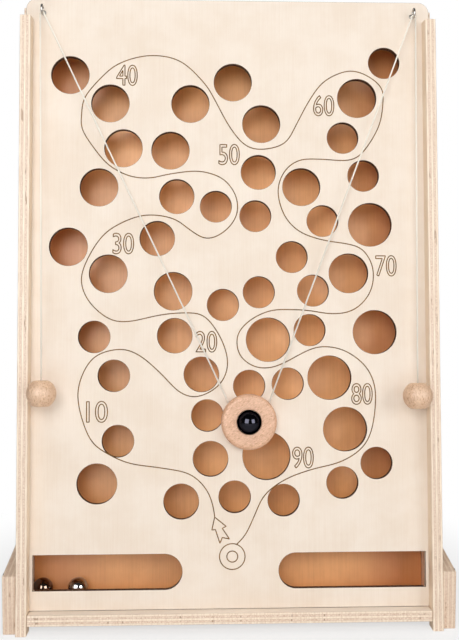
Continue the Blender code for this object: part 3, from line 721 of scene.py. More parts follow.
def beech_finish(name, base, fleck, turn, fleck_amount=0.75):
    """Turned beech: faint growth bands and short dark rays, with its grain turned across the piece."""
    mat = Finish(name, Coat_Weight=0.1, Coat_Roughness=0.4)
    feeds = {"Vector": mat.place(), "Rotation": turn}
    spot = mat.add("ShaderNodeMapping", feeds, vector_type="POINT")
    bands = mat.noise(mat.stretch(spot, (160.0, 9.0, 160.0)), detail=3, distortion=0.4)
    fibres = mat.noise(mat.stretch(spot, (1900.0, 90.0, 1900.0)), detail=3)
    rays = mat.noise(mat.stretch(spot, (900.0, 300.0, 900.0)), detail=2)
    marks = mat.ramp(rays, 0.52, 0.66)
    amount = mat.ramp(bands, 0.3, 0.7) * 0.28 + mat.ramp(fibres, 0.3, 0.7) * 0.22
    amount = amount + marks * fleck_amount * 0.8
    colour = mat.mix(amount.clamped(), base, fleck)
    light = tuple(min(1.0, c * 1.12) for c in base)
    patches = mat.noise(mat.stretch(spot, (800.0, 420.0, 800.0)))
    colour = mat.mix(mat.ramp(patches, 0.5, 0.7, 0.0, 0.8), colour, light)
    grain = fibres * 0.5 - marks * 0.6
    return mat.finish(colour, mat.ramp(fibres, 0.2, 0.8, 0.42, 0.62), mat.bump(grain, 0.25, 0.00015))


def polished_finish(name, base, roughness, metallic, scratch=0.02, **constants):
    """Polished steel with faint scuffs."""
    mat = Finish(name, roughness=roughness, metallic=metallic, **constants)
    spot = mat.place()
    scuffs = mat.noise(mat.stretch(spot, (420.0, 420.0, 420.0)), detail=4, roughness=0.7)
    lines = mat.noise(mat.stretch(spot, (3200.0, 260.0, 900.0)), detail=2)
    shade = tuple(c * 0.82 for c in base)
    colour = mat.mix(mat.ramp(scuffs, 0.45, 0.8, 0.0, 0.6), base, shade)
    rough = mat.ramp(scuffs, 0.4, 0.8, roughness, roughness + 0.05)
    return mat.finish(colour, rough, mat.bump(lines, scratch, 0.00002))


def zinc_finish(name, base):
    """Zinc plating: soft grey with a slight mottle and dull spots."""
    mat = Finish(name, roughness=0.3, metallic=1.0)
    spot = mat.place()
    mottle = mat.noise(mat.stretch(spot, (700.0, 700.0, 700.0)), detail=3)
    spots = mat.cells(mat.stretch(spot, (1400.0, 1400.0, 1400.0)))
    dull = tuple(c * 0.6 for c in base)
    dulled = mat.ramp(mottle, 0.35, 0.75) * 0.6 + mat.ramp(spots, 0.0, 0.5, 0.3, 0.0)
    colour = mat.mix(dulled.clamped(), base, dull)
    return mat.finish(colour, mat.ramp(mottle, 0.3, 0.7, 0.24, 0.44), mat.bump(mottle, 0.12, 0.00005))


def cord_finish(name, base, radius):
    """Braided cord: two sets of strands that cross, drawn from the tube's own UV map, with painted shade in
    the valleys between them.
    """
    mat = Finish(name, roughness=0.85, Specular_IOR_Level=0.1)
    wrap = mat.add("ShaderNodeUVMap", uv_map="along")
    turn, along, _none = mat.split(wrap)
    pitch = along / (radius * 5.0)
    right = ((turn * 4.0 + pitch * 4.0) * math.tau).math("SINE")
    left = ((turn * 4.0 - pitch * 4.0) * math.tau).math("SINE")
    strands = (right.math("MAXIMUM", left) + 1.0) * 0.5
    fuzz = mat.noise(mat.stretch(mat.place(), (5000.0, 5000.0, 5000.0)), detail=2)
    # Painted shade: the valleys between the strands are painted a tenth darker
    shaded_valley = tuple(c * 0.90 for c in base)
    colour = mat.mix((mat.ramp(strands, 0.35, 0.85) * 0.85 + fuzz * 0.2).clamped(), shaded_valley, base)
    return mat.finish(colour, None, mat.bump(strands + fuzz * 0.3, 0.3, 0.00015))


# ---------------------------------------------------------------- operators


class BALLGAME_OT_stage(bpy.types.Operator):
    """Camera, soft lamps, pale floor and white surround"""

    bl_idname = "ballgame.stage"
    bl_label = "Stage"

    def execute(self, context):
        settings = context.scene.ball_game.stage
        self.add_camera(context, settings)
        self.add_lamp("key_softbox", (-0.25, 0.62, 1.30), 0.70, 0.70, settings.key, glossy=False)
        self.add_lamp("top_softbox", (-0.10, 1.60, 0.55), 0.9, 0.9, settings.top, glossy=False)
        self.add_lamp("fill_softbox", (1.15, 0.55, 1.35), 0.9, 0.9, settings.fill, glossy=False)
        self.add_lamp("left_window", (-0.62, 0.52, 1.25), 0.95, 1.05, settings.left, diffuse=False)
        self.add_lamp("right_window", (0.92, 0.50, 1.20), 0.78, 0.95, settings.right, diffuse=False)
        self.add_floor()
        self.add_world(context, settings)
        context.scene.view_settings.view_transform = "Standard"
        return {"FINISHED"}

    def add_camera(self, context, settings):
        data = bpy.data.cameras.new("camera")
        data.lens = settings.lens
        data.sensor_width = 36.0
        data.clip_start = 0.01
        camera = linked("camera", data)
        across, up, out = CAMERA_TURN
        turn = Matrix.Rotation(out, 3, "Z") @ Matrix.Rotation(up, 3, "Y")
        turn = turn @ Matrix.Rotation(across, 3, "X")
        place = leaning(*CAMERA_PLACE)
        camera.matrix_world = Matrix.Translation(place) @ (BOARD.to_3x3() @ turn).to_4x4()
        context.scene.camera = camera

    def add_lamp(self, name, place, width, height, power, diffuse=True, glossy=True):
        data = bpy.data.lights.new(name, "AREA")
        data.shape = "RECTANGLE"
        data.size = width
        data.size_y = height
        data.energy = power
        lamp = linked(name, data)
        spot = leaning(*place)
        aim = (leaning(*LAMP_TARGET) - spot).to_track_quat("-Z", "Y")
        lamp.matrix_world = Matrix.Translation(spot) @ aim.to_matrix().to_4x4()
        lamp.visible_diffuse = diffuse
        lamp.visible_glossy = glossy
        lamp.visible_camera = False

    def add_floor(self):
        bm = bmesh.new()
        bmesh.ops.create_circle(bm, cap_ends=True, radius=3.0, segments=96)
        mesh = bpy.data.meshes.new("floor")
        bm.to_mesh(mesh)
        bm.free()
        floor = linked("floor", mesh)
        mat = Finish("floor_paint", roughness=0.9)
        spot = mat.place(leaning_back=False)
        reach = mat.add("ShaderNodeVectorMath", {0: spot}, output="Value", operation="LENGTH")
        far = mat.ramp(reach, 0.16, 0.42, 0.62, 1.0)
        seen = mat.add("ShaderNodeLightPath", output="Is Camera Ray")
        mat.shader.inputs["Base Color"].default_value = (0.92, 0.92, 0.92, 1.0)
        glow = mat.add("ShaderNodeEmission", {"Color": (1.0, 1.0, 1.0, 1.0)})
        blended = mat.add("ShaderNodeMixShader", {0: far * seen, 2: glow})
        mat.tree.links.new(mat.shader.outputs[0], blended.socket.node.inputs[1])
        output = [n for n in mat.tree.nodes if n.bl_idname == "ShaderNodeOutputMaterial"][0]
        mat.tree.links.new(blended.socket, output.inputs["Surface"])
        mesh.materials.append(mat.material)

    def add_world(self, context, settings):
        world = bpy.data.worlds.new("white_room")
        context.scene.world = world
        world.use_nodes = True
        tree = world.node_tree
        room = tree.nodes["Background"]
        room.inputs["Color"].default_value = (1.0, 0.985, 0.965, 1.0)
        room.inputs["Strength"].default_value = settings.sky
        white = tree.nodes.new("ShaderNodeBackground")
        white.inputs["Color"].default_value = (1.0, 1.0, 1.0, 1.0)
        path = tree.nodes.new("ShaderNodeLightPath")
        blended = tree.nodes.new("ShaderNodeMixShader")
        dark = tree.nodes.new("ShaderNodeBackground")
        dark.inputs["Color"].default_value = (0.97, 0.96, 0.95, 1.0)
        dark.inputs["Strength"].default_value = settings.sky * 0.35
        mirrored = tree.nodes.new("ShaderNodeMixShader")
        tree.links.new(path.outputs["Is Glossy Ray"], mirrored.inputs[0])
        tree.links.new(room.outputs[0], mirrored.inputs[1])
        tree.links.new(dark.outputs[0], mirrored.inputs[2])
        tree.links.new(path.outputs["Is Camera Ray"], blended.inputs[0])
        tree.links.new(mirrored.outputs[0], blended.inputs[1])
        tree.links.new(white.outputs[0], blended.inputs[2])
        tree.links.new(blended.outputs[0], tree.nodes["World Output"].inputs["Surface"])


class BALLGAME_OT_cords(bpy.types.Operator):
    """The two cords: a lift stretch over each screw eye and a pull stretch down to each bead"""

    bl_idname = "ballgame.cords"
    bl_label = "Cords"

    def execute(self, context):
        settings = context.scene.ball_game
        radius = settings.detail.cord_radius
        finish = cord_finish("white_braid", tuple(settings.metal.cord), radius)
        for word, side in SIDES.items():
            self.lift_stretch(word, side, radius, finish)
            self.pull_stretch(word, side, radius, finish)
        return {"FINISHED"}

    def eye_exit(self, side, inner):
        return leaning(side * (EYE_ACROSS - inner * BEND_RADIUS), EYE_UP - EYE_RADIUS, EYE_OUT)

    def lift_stretch(self, word, side, radius, finish):
        tie = leaning(
            CARRIER.x + side * TIE_RADIUS * math.cos(TIE_ANGLE),
            CARRIER.y + TIE_RADIUS * math.sin(TIE_ANGLE),
            CARRIER.z,
        )
        near, far = self.eye_exit(side, 1), self.eye_exit(side, -1)
        path = [tie, near]
        for i in range(1, 12):
            angle = math.pi * i / 12
            across = side * (EYE_ACROSS - BEND_RADIUS * math.cos(angle))
            up = EYE_UP - EYE_RADIUS + BEND_RADIUS * math.sin(angle)
            path.append(leaning(across, up, EYE_OUT))
        path.append(far)
        mesh = tube("lift_line_" + word, path, radius, 14)
        mesh.materials.append(finish)
        cord = linked("lift_line_" + word, mesh)
        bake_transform(cord)
        self.declare(cord, word, "lift_cord_", path, tie)

    def pull_stretch(self, word, side, radius, finish):
        bead = BEADS[word]
        grip = leaning(bead.x, bead.y + BEAD_HEIGHT / 2 - BEAD_CORD_DEPTH, bead.z)
        top = self.eye_exit(side, -1)
        down = (grip - top).normalized()
        path = [top + down * 2 * GAP, grip]
        mesh = tube("pull_line_" + word, path, radius, 14)
        mesh.materials.append(finish)
        cord = linked("pull_line_" + word, mesh)
        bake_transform(cord)
        self.declare(cord, word, "pull_cord_", path, path[0])

    def declare(self, cord, word, node, path, start):
        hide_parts(node + word)
        length = sum((b - a).length for a, b in zip(path, path[1:]))
        points = []
        for a, b in zip(path, path[1:]):
            count = max(1, round((b - a).length / 0.012))
            points += [a.lerp(b, i / count) for i in range(count)]
        points.append(path[-1])


class BALLGAME_OT_playfield(bpy.types.Operator):
    """The playfield board with its traps and collecting windows"""

    bl_idname = "ballgame.playfield"
    bl_label = "Playfield"

    def outlines(self, detail):
        """The sheet's outline and every cut, each turned so that the wood lies on its left."""
        corner_up = HEAD_TOP - HEAD_CORNER
        corner_across = HEAD_HALF - HEAD_CORNER
        board = [(-BOARD_HALF, GAP), (BOARD_HALF, GAP), (BOARD_HALF, HEAD_SHOULDER)]
        board.append((HEAD_HALF, HEAD_SHOULDER))
        board += arc((corner_across, corner_up), HEAD_CORNER, 0, 90, 16)
        board += arc((-corner_across, corner_up), HEAD_CORNER, 90, 180, 16)
        board += [(-HEAD_HALF, HEAD_SHOULDER), (-BOARD_HALF, HEAD_SHOULDER)]
        radius = (WINDOW_TOP - WINDOW_BOTTOM) / 2
        middle = (WINDOW_TOP + WINDOW_BOTTOM) / 2
        window = [(WINDOW_SIDE, WINDOW_TOP)]
        window += arc((WINDOW_INNER + radius, middle), radius, 90, 270, 40)
        window.append((WINDOW_SIDE, WINDOW_BOTTOM))
        rings = [board, list(reversed(window)), [(-x, y) for x, y in window]]
        for diameter, places in TRAPS.items():
            for across, up in places:
                spot = (across / 1000, up / 1000)
                rings.append(arc(spot, diameter / 2000, 360, 0, detail.trap_sides)[:-1])
        return rings

    def moved_in(self, ring, amount):
        """A ring moved into the wood, square to its sides."""
        places = []
        for before, here, after in zip(ring[-1:] + ring[:-1], ring, ring[1:] + ring[:1]):
            first = Vector((before[1] - here[1], here[0] - before[0])).normalized()
            second = Vector((here[1] - after[1], after[0] - here[0])).normalized()
            step = (first + second) / (1 + first.dot(second))
            places.append((here[0] + amount * step.x, here[1] + amount * step.y))
        return places

    def flat_face(self, rings):
        """The flat sheet inside the rings, as triangles."""
        curve = bpy.data.curves.new("playfield_face", "CURVE")
        curve.dimensions = "2D"
        curve.fill_mode = "BOTH"
        for ring in rings:
            spline = curve.splines.new("POLY")
            spline.points.add(len(ring) - 1)
            for point, (across, up) in zip(spline.points, ring):
                point.co = (across, up, 0, 1)
            spline.use_cyclic_u = True
        blank = linked("playfield_face", curve)
        mesh = mesh_of(blank)
        bpy.data.objects.remove(blank)
        return mesh

    def execute(self, context):
        settings = context.scene.ball_game
        soft = settings.detail.edge_round
        slope = soft * (1 - math.sqrt(0.5))
        levels = [(soft, 0.0), (slope, -slope), (0.0, -soft)]
        levels += [(inset, -BOARD_THICK - level) for inset, level in reversed(levels)]
        rings = self.outlines(settings.detail)
        face = self.flat_face([self.moved_in(ring, soft) for ring in rings])
        bm = bmesh.new()
        bm.from_mesh(face)
        face.transform(Matrix.Translation((0, 0, -BOARD_THICK)))
        bm.from_mesh(face)
        for ring in rings:
            rows = []
            for inset, level in levels:
                rows.append([bm.verts.new((x, y, level)) for x, y in self.moved_in(ring, inset)])
            for upper, lower in zip(rows, rows[1:]):
                for i in range(len(ring)):
                    bm.faces.new((upper[i - 1], upper[i], lower[i], lower[i - 1]))
        bmesh.ops.remove_doubles(bm, verts=bm.verts, dist=2e-6)
        mesh = from_bmesh("playfield", bm, 15.0)
        for polygon in mesh.polygons:
            polygon.use_smooth = abs(polygon.normal.z) < 0.9
        mesh.materials.clear()
        mesh.materials.append(playfield_finish(settings.wood))
        shown("playfield", mesh, "case", BOARD_NODES, BOARD)
        return {"FINISHED"}


class BALLGAME_OT_engraving(bpy.types.Operator):
    """The burnt course, arrow, start ring and numbers on the playfield"""

    bl_idname = "ballgame.engraving"
    bl_label = "Engraving"

    def number_lines(self, context, word, centre, size):
        """The outlines of a number, from the built-in type, fitted to a square."""
        data = bpy.data.curves.new("number", "FONT")
        data.body = word
        data.offset = 0.012
        data.resolution_u = 6
        text = linked("number", data)
        outline = text.to_curve(context.evaluated_depsgraph_get())
        loops = []
        for spline in outline.splines:
            loops.append(self.sampled(spline, data.resolution_u))
        text.to_curve_clear()
        bpy.data.objects.remove(text)
        xs = [p[0] for loop in loops for p in loop]
        ys = [p[1] for loop in loops for p in loop]
        fitted = []
        for loop in loops:
            line = []
            for x, y in loop:
                u = centre[0] / 1000 + ((x - min(xs)) / (max(xs) - min(xs)) - 0.5) * size
                v = centre[1] / 1000 + ((y - min(ys)) / (max(ys) - min(ys)) - 0.5) * size
                line.append((u, v))
            fitted.append(line)
        return fitted

    def sampled(self, spline, steps):
        if spline.type != "BEZIER":
            return [(p.co.x, p.co.y) for p in spline.points]
        line = []
        count = len(spline.bezier_points)
        for k in range(count):
            a, b = spline.bezier_points[k], spline.bezier_points[(k + 1) % count]
            for i in range(steps):
                t = i / steps
                s = 1 - t
                p = a.co * s**3 + a.handle_right * 3 * s * s * t + b.handle_left * 3 * s * t * t + b.co * t**3
                line.append((p.x, p.y))
        return line

    def dense(self, loop, step=0.0009):
        """A closed loop with points close together, so that its corners keep the line's full width."""
        points = []
        for start, end in zip(loop, loop[1:] + loop[:1]):
            count = max(1, round(math.dist(start, end) / step))
            for i in range(count):
                t = i / count
                points.append((start[0] + (end[0] - start[0]) * t, start[1] + (end[1] - start[1]) * t))
        return points

    def guide(self, lines):
        """All the lines as loose edges, each (points, closed)."""
        verts, edges = [], []
        for points, closed in lines:
            first = len(verts)
            verts += [(x, y, 0) for x, y in points]
            edges += [(i, i + 1) for i in range(first, len(verts) - 1)]
            if closed:
                edges.append((len(verts) - 1, first))
        mesh = bpy.data.meshes.new("engraving_guide")
        mesh.from_pydata(verts, edges, [])
        return mesh

    def groove_tree(self, sizes):
        """Sweep a shallow V along every line of the guide."""
        tree = geometry_tree("engraved_groove", sizes)
        start = grow(tree, "NodeGroupInput")
        line = grow(tree, "GeometryNodeMeshToCurve", {"Mesh": start.outputs["Geometry"]})
        flat = grow(tree, "GeometryNodeSetCurveNormal", {"Curve": line.outputs[0]}, mode="Z_UP")
        half = grow(
            tree, "ShaderNodeMath", {0: start.outputs["Line Width"], 1: 0.5}, operation="MULTIPLY"
        )
        minus = grow(tree, "ShaderNodeMath", {0: half.outputs[0], 1: -1.0}, operation="MULTIPLY")
        left = grow(tree, "ShaderNodeCombineXYZ", {0: minus.outputs[0]})
        right = grow(tree, "ShaderNodeCombineXYZ", {0: half.outputs[0]})
        bar = grow(
            tree, "GeometryNodeCurvePrimitiveLine", {"Start": left.outputs[0], "End": right.outputs[0]}
        )
        three = grow(tree, "GeometryNodeResampleCurve", {"Curve": bar.outputs[0], "Count": 3})
        index = grow(tree, "GeometryNodeInputIndex")
        middle = grow(
            tree, "FunctionNodeCompare", {2: index.outputs[0], 3: 1}, data_type="INT", operation="EQUAL"
        )
        drop = grow(tree, "ShaderNodeCombineXYZ", {1: start.outputs["Groove Depth"]})
        shaped = grow(
            tree, "GeometryNodeSetPosition",
            {"Geometry": three.outputs[0], "Selection": middle.outputs[0], "Offset": drop.outputs[0]},
        )
        swept = grow(
            tree, "GeometryNodeCurveToMesh",
            {"Curve": flat.outputs[0], "Profile Curve": shaped.outputs[0], "Fill Caps": False},
        )
        solid = grow(tree, "GeometryNodeRealizeInstances", {"Geometry": swept.outputs[0]})
        paint = grow(
            tree, "GeometryNodeSetMaterial",
            {"Geometry": solid.outputs[0], "Material": start.outputs["Finish"]},
        )
        end = grow(tree, "NodeGroupOutput")
        tree.links.new(paint.outputs[0], end.inputs[0])
        return tree

    def execute(self, context):
        settings = context.scene.ball_game
        size = settings.detail.number_size
        course = [(x / 1000, y / 1000) for x, y in eased(smooth_course(COURSE, 2.5), 8)]
        ring = (START_RING[0] / 1000, START_RING[1] / 1000)
        lines = [
            (course, False),
            (self.dense([(x / 1000, y / 1000) for x, y in ARROW]), True),
        ]
        lines += [(arc(ring, r / 1000, 0, 360, sides)[:-1], True) for r, sides in START_RING_RADII]
        for word, centre in NUMBERS.items():
            loops = self.number_lines(context, word, centre, size)
            lines += [(self.dense(loop), True) for loop in loops]
        sizes = {
            "Line Width": ("NodeSocketFloat", settings.detail.line_width),
            "Groove Depth": ("NodeSocketFloat", GROOVE_DEPTH),
            "Finish": ("NodeSocketMaterial", burnt_line_finish(settings.wood)),
        }
        mesh = run_tree(self.guide(lines), self.groove_tree(sizes), sizes, "engraved_lines")
        if not mesh.polygons:
            raise RuntimeError("the engraved lines came out empty")
        faces_down = sum(p.normal.z for p in mesh.polygons) < 0
        if faces_down:
            mesh.flip_normals()
        shown("engraved_lines", mesh, "case", place=BOARD @ Matrix.Translation((0, 0, GROOVE_LIFT)))
        return {"FINISHED"}


class BALLGAME_OT_case(bpy.types.Operator):
    """Plywood finishes on the rails, feet, ledge, tray, cleats, rear panel and cap"""

    bl_idname = "ballgame.case"
    bl_label = "Case"

    def execute(self, context):
        wood = context.scene.ball_game.wood
        # Painted shade: the panel and rail tints are darker copies of the face veneer
        tints = {
            "panel": (tuple(wood.panel), tuple(wood.panel_streak)),
            "rail": (tuple(wood.rail), tuple(wood.rail_streak)),
        }
        for node, (name, normal, thick, plies, low, tint, extra) in SHEETS.items():
            finish = plywood(name, wood, normal, thick, plies, low, tint=tints.get(tint), **extra)
            piece = frame["nodes"][node]
            if not piece.material_slots:
                piece.data.materials.append(finish)
            for place in piece.material_slots:
                place.material = finish
        return {"FINISHED"}


class BALLGAME_OT_carrier(bpy.types.Operator):
    """The turned ring and the dark ball it carries"""

    bl_idname = "ballgame.carrier"
    bl_label = "Carrier"

    def ring_mesh(self):
        half, bend, soft = CARRIER_THICK / 2, 0.0045, 0.0006
        outer = CARRIER_RADIUS - bend
        profile = [(CARRIER_HOLE, -half + soft), (CARRIER_HOLE, half - soft)]
        profile += arc((CARRIER_HOLE + soft, half - soft), soft, 150, 90, 3)
        profile += [(r, half) for r in (0.0145, 0.0175, 0.0200)]
        profile += arc((outer, half - bend), bend, 90, 0, 12)
        profile += arc((outer, bend - half), bend, 0, -90, 12)
        profile += arc((CARRIER_HOLE + soft, soft - half), soft, -90, -150, 3)
        bm = bmesh.new()
        lathe(bm, profile, 128, closed=True)
        return from_bmesh("carrier_ring_turned", bm, 35.0)

    def ball_mesh(self):
        bm = bmesh.new()
        bmesh.ops.create_icosphere(bm, subdivisions=6, radius=CARRIER_BALL)
        return from_bmesh("carried_ball", bm, 180.0)

    def execute(self, context):
        settings = context.scene.ball_game
        ring = self.ring_mesh()
        base, fleck = tuple(settings.wood.beech), tuple(settings.wood.beech_fleck)
        ring.materials.append(beech_finish("turned_beech", base, fleck, (0, 0, math.radians(62))))
        shown("turned_ring", ring, "carrier", ["carrier_ring"], BOARD @ Matrix.Translation(CARRIER))
        ball = self.ball_mesh()
        dark = polished_finish(
            "dark_ball", tuple(settings.metal.dark_steel), 0.05, 1.0, Specular_Tint=(0.1, 0.1, 0.12, 1.0)
        )
        ball.materials.append(dark)
        place = BOARD @ Matrix.Translation((CARRIER.x, CARRIER.y, GAP + CARRIER_BALL))
        shown("dark_ball", ball, "carried_ball", ["carrier_ball"], place)
        return {"FINISHED"}


class BALLGAME_OT_beads(bpy.types.Operator):
    """The two turned wooden pull beads"""

    bl_idname = "ballgame.beads"
    bl_label = "Beads"

    def bead_mesh(self, name):
        half = BEAD_HEIGHT / 2
        flat = math.degrees(math.asin(half / BEAD_RADIUS))
        rim = BEAD_RADIUS * math.cos(math.radians(flat))
        mouth = BEAD_BORE + 0.0007
        profile = [(BEAD_BORE, -half + 0.0007), (BEAD_BORE, half - 0.0007), (mouth, half)]
        profile += [(rim - 0.0008, half)]
        profile += arc((0, 0), BEAD_RADIUS, flat - 2, 2 - flat, 36)
        profile += [(rim - 0.0008, -half), (mouth, -half)]
        bm = bmesh.new()
        lathe(bm, profile, 96, closed=True)
        return from_bmesh(name, bm, 35.0)

    def execute(self, context):
        wood = context.scene.ball_game.wood
        for word, spot in BEADS.items():
            turn = (0, 0, math.radians(4 if word == "left" else -7))
            mesh = self.bead_mesh("bead_" + word)
            mesh.materials.append(
                beech_finish("bead_wood_" + word, tuple(wood.bead), tuple(wood.bead_grain), turn, 0.8)
            )
            stand = Matrix.Rotation(-math.pi / 2, 4, "X")
            place = BOARD @ Matrix.Translation(spot) @ stand
            shown("bead_" + word, mesh, "bead_" + word, ["pull_bead_" + word], place)
        return {"FINISHED"}


class BALLGAME_OT_tray_balls(bpy.types.Operator):
    """The loose steel balls lying in the tray"""

    bl_idname = "ballgame.tray_balls"
    bl_label = "Tray balls"

    def execute(self, context):
        steel = tuple(context.scene.ball_game.metal.steel)
        # Painted shade and reflection: the first ball gets a darker, browner copy of the steel
        shaded_brown = tuple(c * tone for c, tone in zip(steel, SHADED_BROWN_TONE))
        finishes = {
            1: polished_finish("shaded_brown_steel", shaded_brown, 0.06, 1.0),
            2: polished_finish("bright_steel", steel, 0.05, 1.0),
        }
        for number, finish in finishes.items():
            node = "tray_ball_" + str(number)
            low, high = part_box(node)
            bm = bmesh.new()
            bmesh.ops.create_icosphere(bm, subdivisions=6, radius=TRAY_BALL)
            mesh = from_bmesh("steel_ball_" + str(number), bm, 180.0)
            mesh.materials.append(finish)
            place = Matrix.Translation((low + high) / 2)
            shown("steel_ball_" + str(number), mesh, "loose_ball_" + str(number), [node], place)
        return {"FINISHED"}


class BALLGAME_OT_screw_eyes(bpy.types.Operator):
    """The two zinc screw eyes that the cords run over"""

    bl_idname = "ballgame.screw_eyes"
    bl_label = "Screw eyes"

    def eye_mesh(self, word):
        """A wire loop left a little open, a neck with thread ridges, and a collar on the face."""
        loop = []
        for i in range(49):
            angle = math.radians(-90 + 18 + 330 * i / 48)
            loop.append(Vector((0.0, EYE_RADIUS * math.cos(angle), EYE_OUT + EYE_RADIUS * math.sin(angle))))
        bm = bmesh.new()
        ring = tube("eye_loop", loop, EYE_WIRE, 16)
        bm.from_mesh(ring)
        shank = 0.0011
        profile = [(0.0, -0.0128), (0.0004, -0.0125)]
        turns = 16
        for i in range(turns):
            level = -0.0118 + 0.0105 * i / turns
            profile += [(shank - 0.0003, level), (shank, level + 0.0003)]
        profile += [(shank - 0.0002, 0.0), (0.0023, 0.00015), (0.0024, 0.0005), (0.0022, 0.00095)]
        profile += [(shank + 0.0001, 0.0011), (shank - 0.0001, 0.0024), (shank - 0.0001, 0.0048)]
        profile += [(0.0006, 0.0054), (0.0, 0.0056)]
        lathe(bm, profile, 24)
        return from_bmesh("eye_" + word, bm, 40.0)

    def execute(self, context):
        finish = zinc_finish("eye_zinc", tuple(context.scene.ball_game.metal.zinc))
        for word, side in SIDES.items():
            mesh = self.eye_mesh(word)
            mesh.materials.clear()
            mesh.materials.append(finish)
            place = BOARD @ Matrix.Translation((side * EYE_ACROSS, EYE_UP, 0))
            shown("eye_" + word, mesh, "case", ["screw_eye_" + word], place)
        return {"FINISHED"}


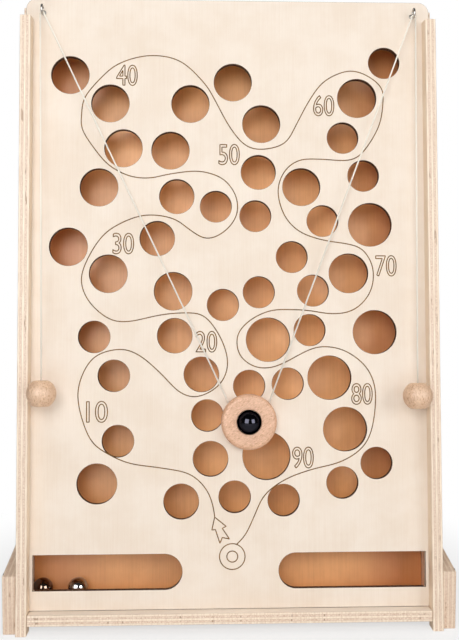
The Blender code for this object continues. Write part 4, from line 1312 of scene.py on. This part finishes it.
class BALLGAME_OT_screws(bpy.types.Operator):
    """Every countersunk screw, placed on points by one Geometry Nodes tree"""

    bl_idname = "ballgame.screws"
    bl_label = "Screws"

    def screw_mesh(self, radius):
        """A countersunk head with a cross recess on a short shank, its head at the origin facing +Z."""
        bm = bmesh.new()
        profile = [(0.0, -0.008), (0.0013, -0.0072), (0.0014, -0.002), (radius * 0.94, -0.00035)]
        profile += [(radius, -0.00015), (radius - 0.00012, -0.00002), (radius * 0.6, 0.0), (0.0, 0.0)]
        lathe(bm, profile, 28)
        body = linked("screw_body", from_bmesh("screw_body", bm, 35.0))
        bm = bmesh.new()
        for quarter in (0, math.pi / 2):
            made = bmesh.ops.create_cube(bm, size=1.0)["verts"]
            bmesh.ops.scale(bm, vec=(radius * 1.25, 0.0007, 0.0024), verts=made)
            for vert in made:
                if vert.co.z < 0:
                    vert.co.x *= 0.35
                    vert.co.y *= 0.6
            bmesh.ops.rotate(bm, matrix=Matrix.Rotation(quarter, 3, "Z"), verts=made)
        cross = linked("screw_cross", from_bmesh("screw_cross", bm, 35.0))
        cut = body.modifiers.new("cross_recess", "BOOLEAN")
        cut.solver = "EXACT"
        cut.use_self = True
        cut.object = cross
        mesh = mesh_of(body)
        bpy.data.objects.remove(body)
        bpy.data.objects.remove(cross)
        mesh.name = "cross_screw"
        return mesh

    def heads(self):
        """Each screw node with its head's middle and the way the head faces."""
        places = []
        for node in sorted(frame["nodes"]):
            low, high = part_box(node)
            middle = (low + high) / 2
            if node.startswith("foot_screw"):
                side = -1 if "left" in node else 1
                spot = Vector((low.x if side < 0 else high.x, middle.y, middle.z))
                places.append((node, spot, Vector((side, 0, 0))))
            elif node.startswith("back_screw") or node.startswith("tray_screw"):
                spot = Vector((middle.x, high.y - 0.0032 * math.sin(LEAN), middle.z))
                places.append((node, spot, -OUT))
            elif node.startswith("top_screw"):
                places.append((node, Vector((middle.x, middle.y, high.z)), Vector((0, 0, 1))))
        return places

    def placing_tree(self, sizes):
        tree = geometry_tree("placed_screws", sizes)
        start = grow(tree, "NodeGroupInput")
        points = grow(tree, "GeometryNodeMeshToPoints", {"Mesh": start.outputs["Geometry"]})
        way = grow(tree, "GeometryNodeInputNamedAttribute", {"Name": "facing"}, data_type="FLOAT_VECTOR")
        align = grow(
            tree, "FunctionNodeAlignRotationToVector", {"Vector": way.outputs["Attribute"]}, axis="Z"
        )
        spin = grow(
            tree, "FunctionNodeRandomValue",
            {2: 0.0, 3: 3.14, "Seed": start.outputs["Seed"]}, data_type="FLOAT",
        )
        twist = grow(tree, "ShaderNodeCombineXYZ", {2: spin.outputs[1]})
        turned = grow(
            tree, "FunctionNodeRotateRotation",
            {"Rotation": align.outputs[0], "Rotate By": twist.outputs[0]}, rotation_space="LOCAL",
        )
        shape = grow(tree, "GeometryNodeObjectInfo", {"Object": start.outputs["Screw"]})
        placed = grow(
            tree, "GeometryNodeInstanceOnPoints",
            {
                "Points": points.outputs[0], "Instance": shape.outputs["Geometry"],
                "Rotation": turned.outputs[0],
            },
        )
        solid = grow(tree, "GeometryNodeRealizeInstances", {"Geometry": placed.outputs[0]})
        paint = grow(
            tree, "GeometryNodeSetMaterial",
            {"Geometry": solid.outputs[0], "Material": start.outputs["Finish"]},
        )
        end = grow(tree, "NodeGroupOutput")
        tree.links.new(paint.outputs[0], end.inputs[0])
        return tree

    def execute(self, context):
        settings = context.scene.ball_game
        screw = linked("cross_screw", self.screw_mesh(settings.detail.screw_head))
        places = self.heads()
        guide = bpy.data.meshes.new("screw_points")
        guide.from_pydata([spot for _node, spot, _way in places], [], [])
        ways = guide.attributes.new("facing", "FLOAT_VECTOR", "POINT")
        for item, (_node, _spot, way) in zip(ways.data, places):
            item.vector = way
        sizes = {
            "Screw": ("NodeSocketObject", screw),
            "Seed": ("NodeSocketInt", 7),
            "Finish": ("NodeSocketMaterial", zinc_finish("screw_zinc", tuple(settings.metal.zinc))),
        }
        mesh = run_tree(guide, self.placing_tree(sizes), sizes, "screw_set")
        bpy.data.objects.remove(screw)
        if not mesh.polygons:
            raise RuntimeError("the screws came out empty")
        mesh.shade_smooth()
        mesh.set_sharp_from_angle(angle=math.radians(30))
        shown("screw_set", mesh, "case", [node for node, _spot, _way in places])
        return {"FINISHED"}


STEPS = (
    BALLGAME_OT_stage,
    BALLGAME_OT_cords,
    BALLGAME_OT_playfield,
    BALLGAME_OT_engraving,
    BALLGAME_OT_case,
    BALLGAME_OT_carrier,
    BALLGAME_OT_beads,
    BALLGAME_OT_tray_balls,
    BALLGAME_OT_screw_eyes,
    BALLGAME_OT_screws,
)


class BALLGAME_PT_panel(bpy.types.Panel):
    """The game's pieces in the sidebar"""

    bl_label = "Ball Lifting Game"
    bl_idname = "BALLGAME_PT_panel"
    bl_space_type = "VIEW_3D"
    bl_region_type = "UI"
    bl_category = "Ball Game"

    def draw(self, context):
        settings = context.scene.ball_game
        for step in STEPS:
            self.layout.operator(step.bl_idname)
        for group in (settings.wood, settings.detail, settings.metal, settings.stage):
            box = self.layout.box()
            for name in group.__annotations__:
                box.prop(group, name)


CLASSES = (
    WoodSettings, DetailSettings, MetalSettings, StageSettings, GameSettings, *STEPS, BALLGAME_PT_panel
)


def register():
    for kind in CLASSES:
        bpy.utils.register_class(kind)
    bpy.types.Scene.ball_game = PointerProperty(type=GameSettings)


def unregister():
    del bpy.types.Scene.ball_game
    for kind in reversed(CLASSES):
        bpy.utils.unregister_class(kind)


def main():
    register()
    bpy.ops.ballgame.stage()
    bpy.ops.ballgame.cords()
    bpy.ops.ballgame.playfield()
    bpy.ops.ballgame.engraving()
    bpy.ops.ballgame.case()
    bpy.ops.ballgame.carrier()
    bpy.ops.ballgame.beads()
    bpy.ops.ballgame.tray_balls()
    bpy.ops.ballgame.screw_eyes()
    bpy.ops.ballgame.screws()
    bpy.context.view_layer.update()


if __name__ == "__main__":
    main()
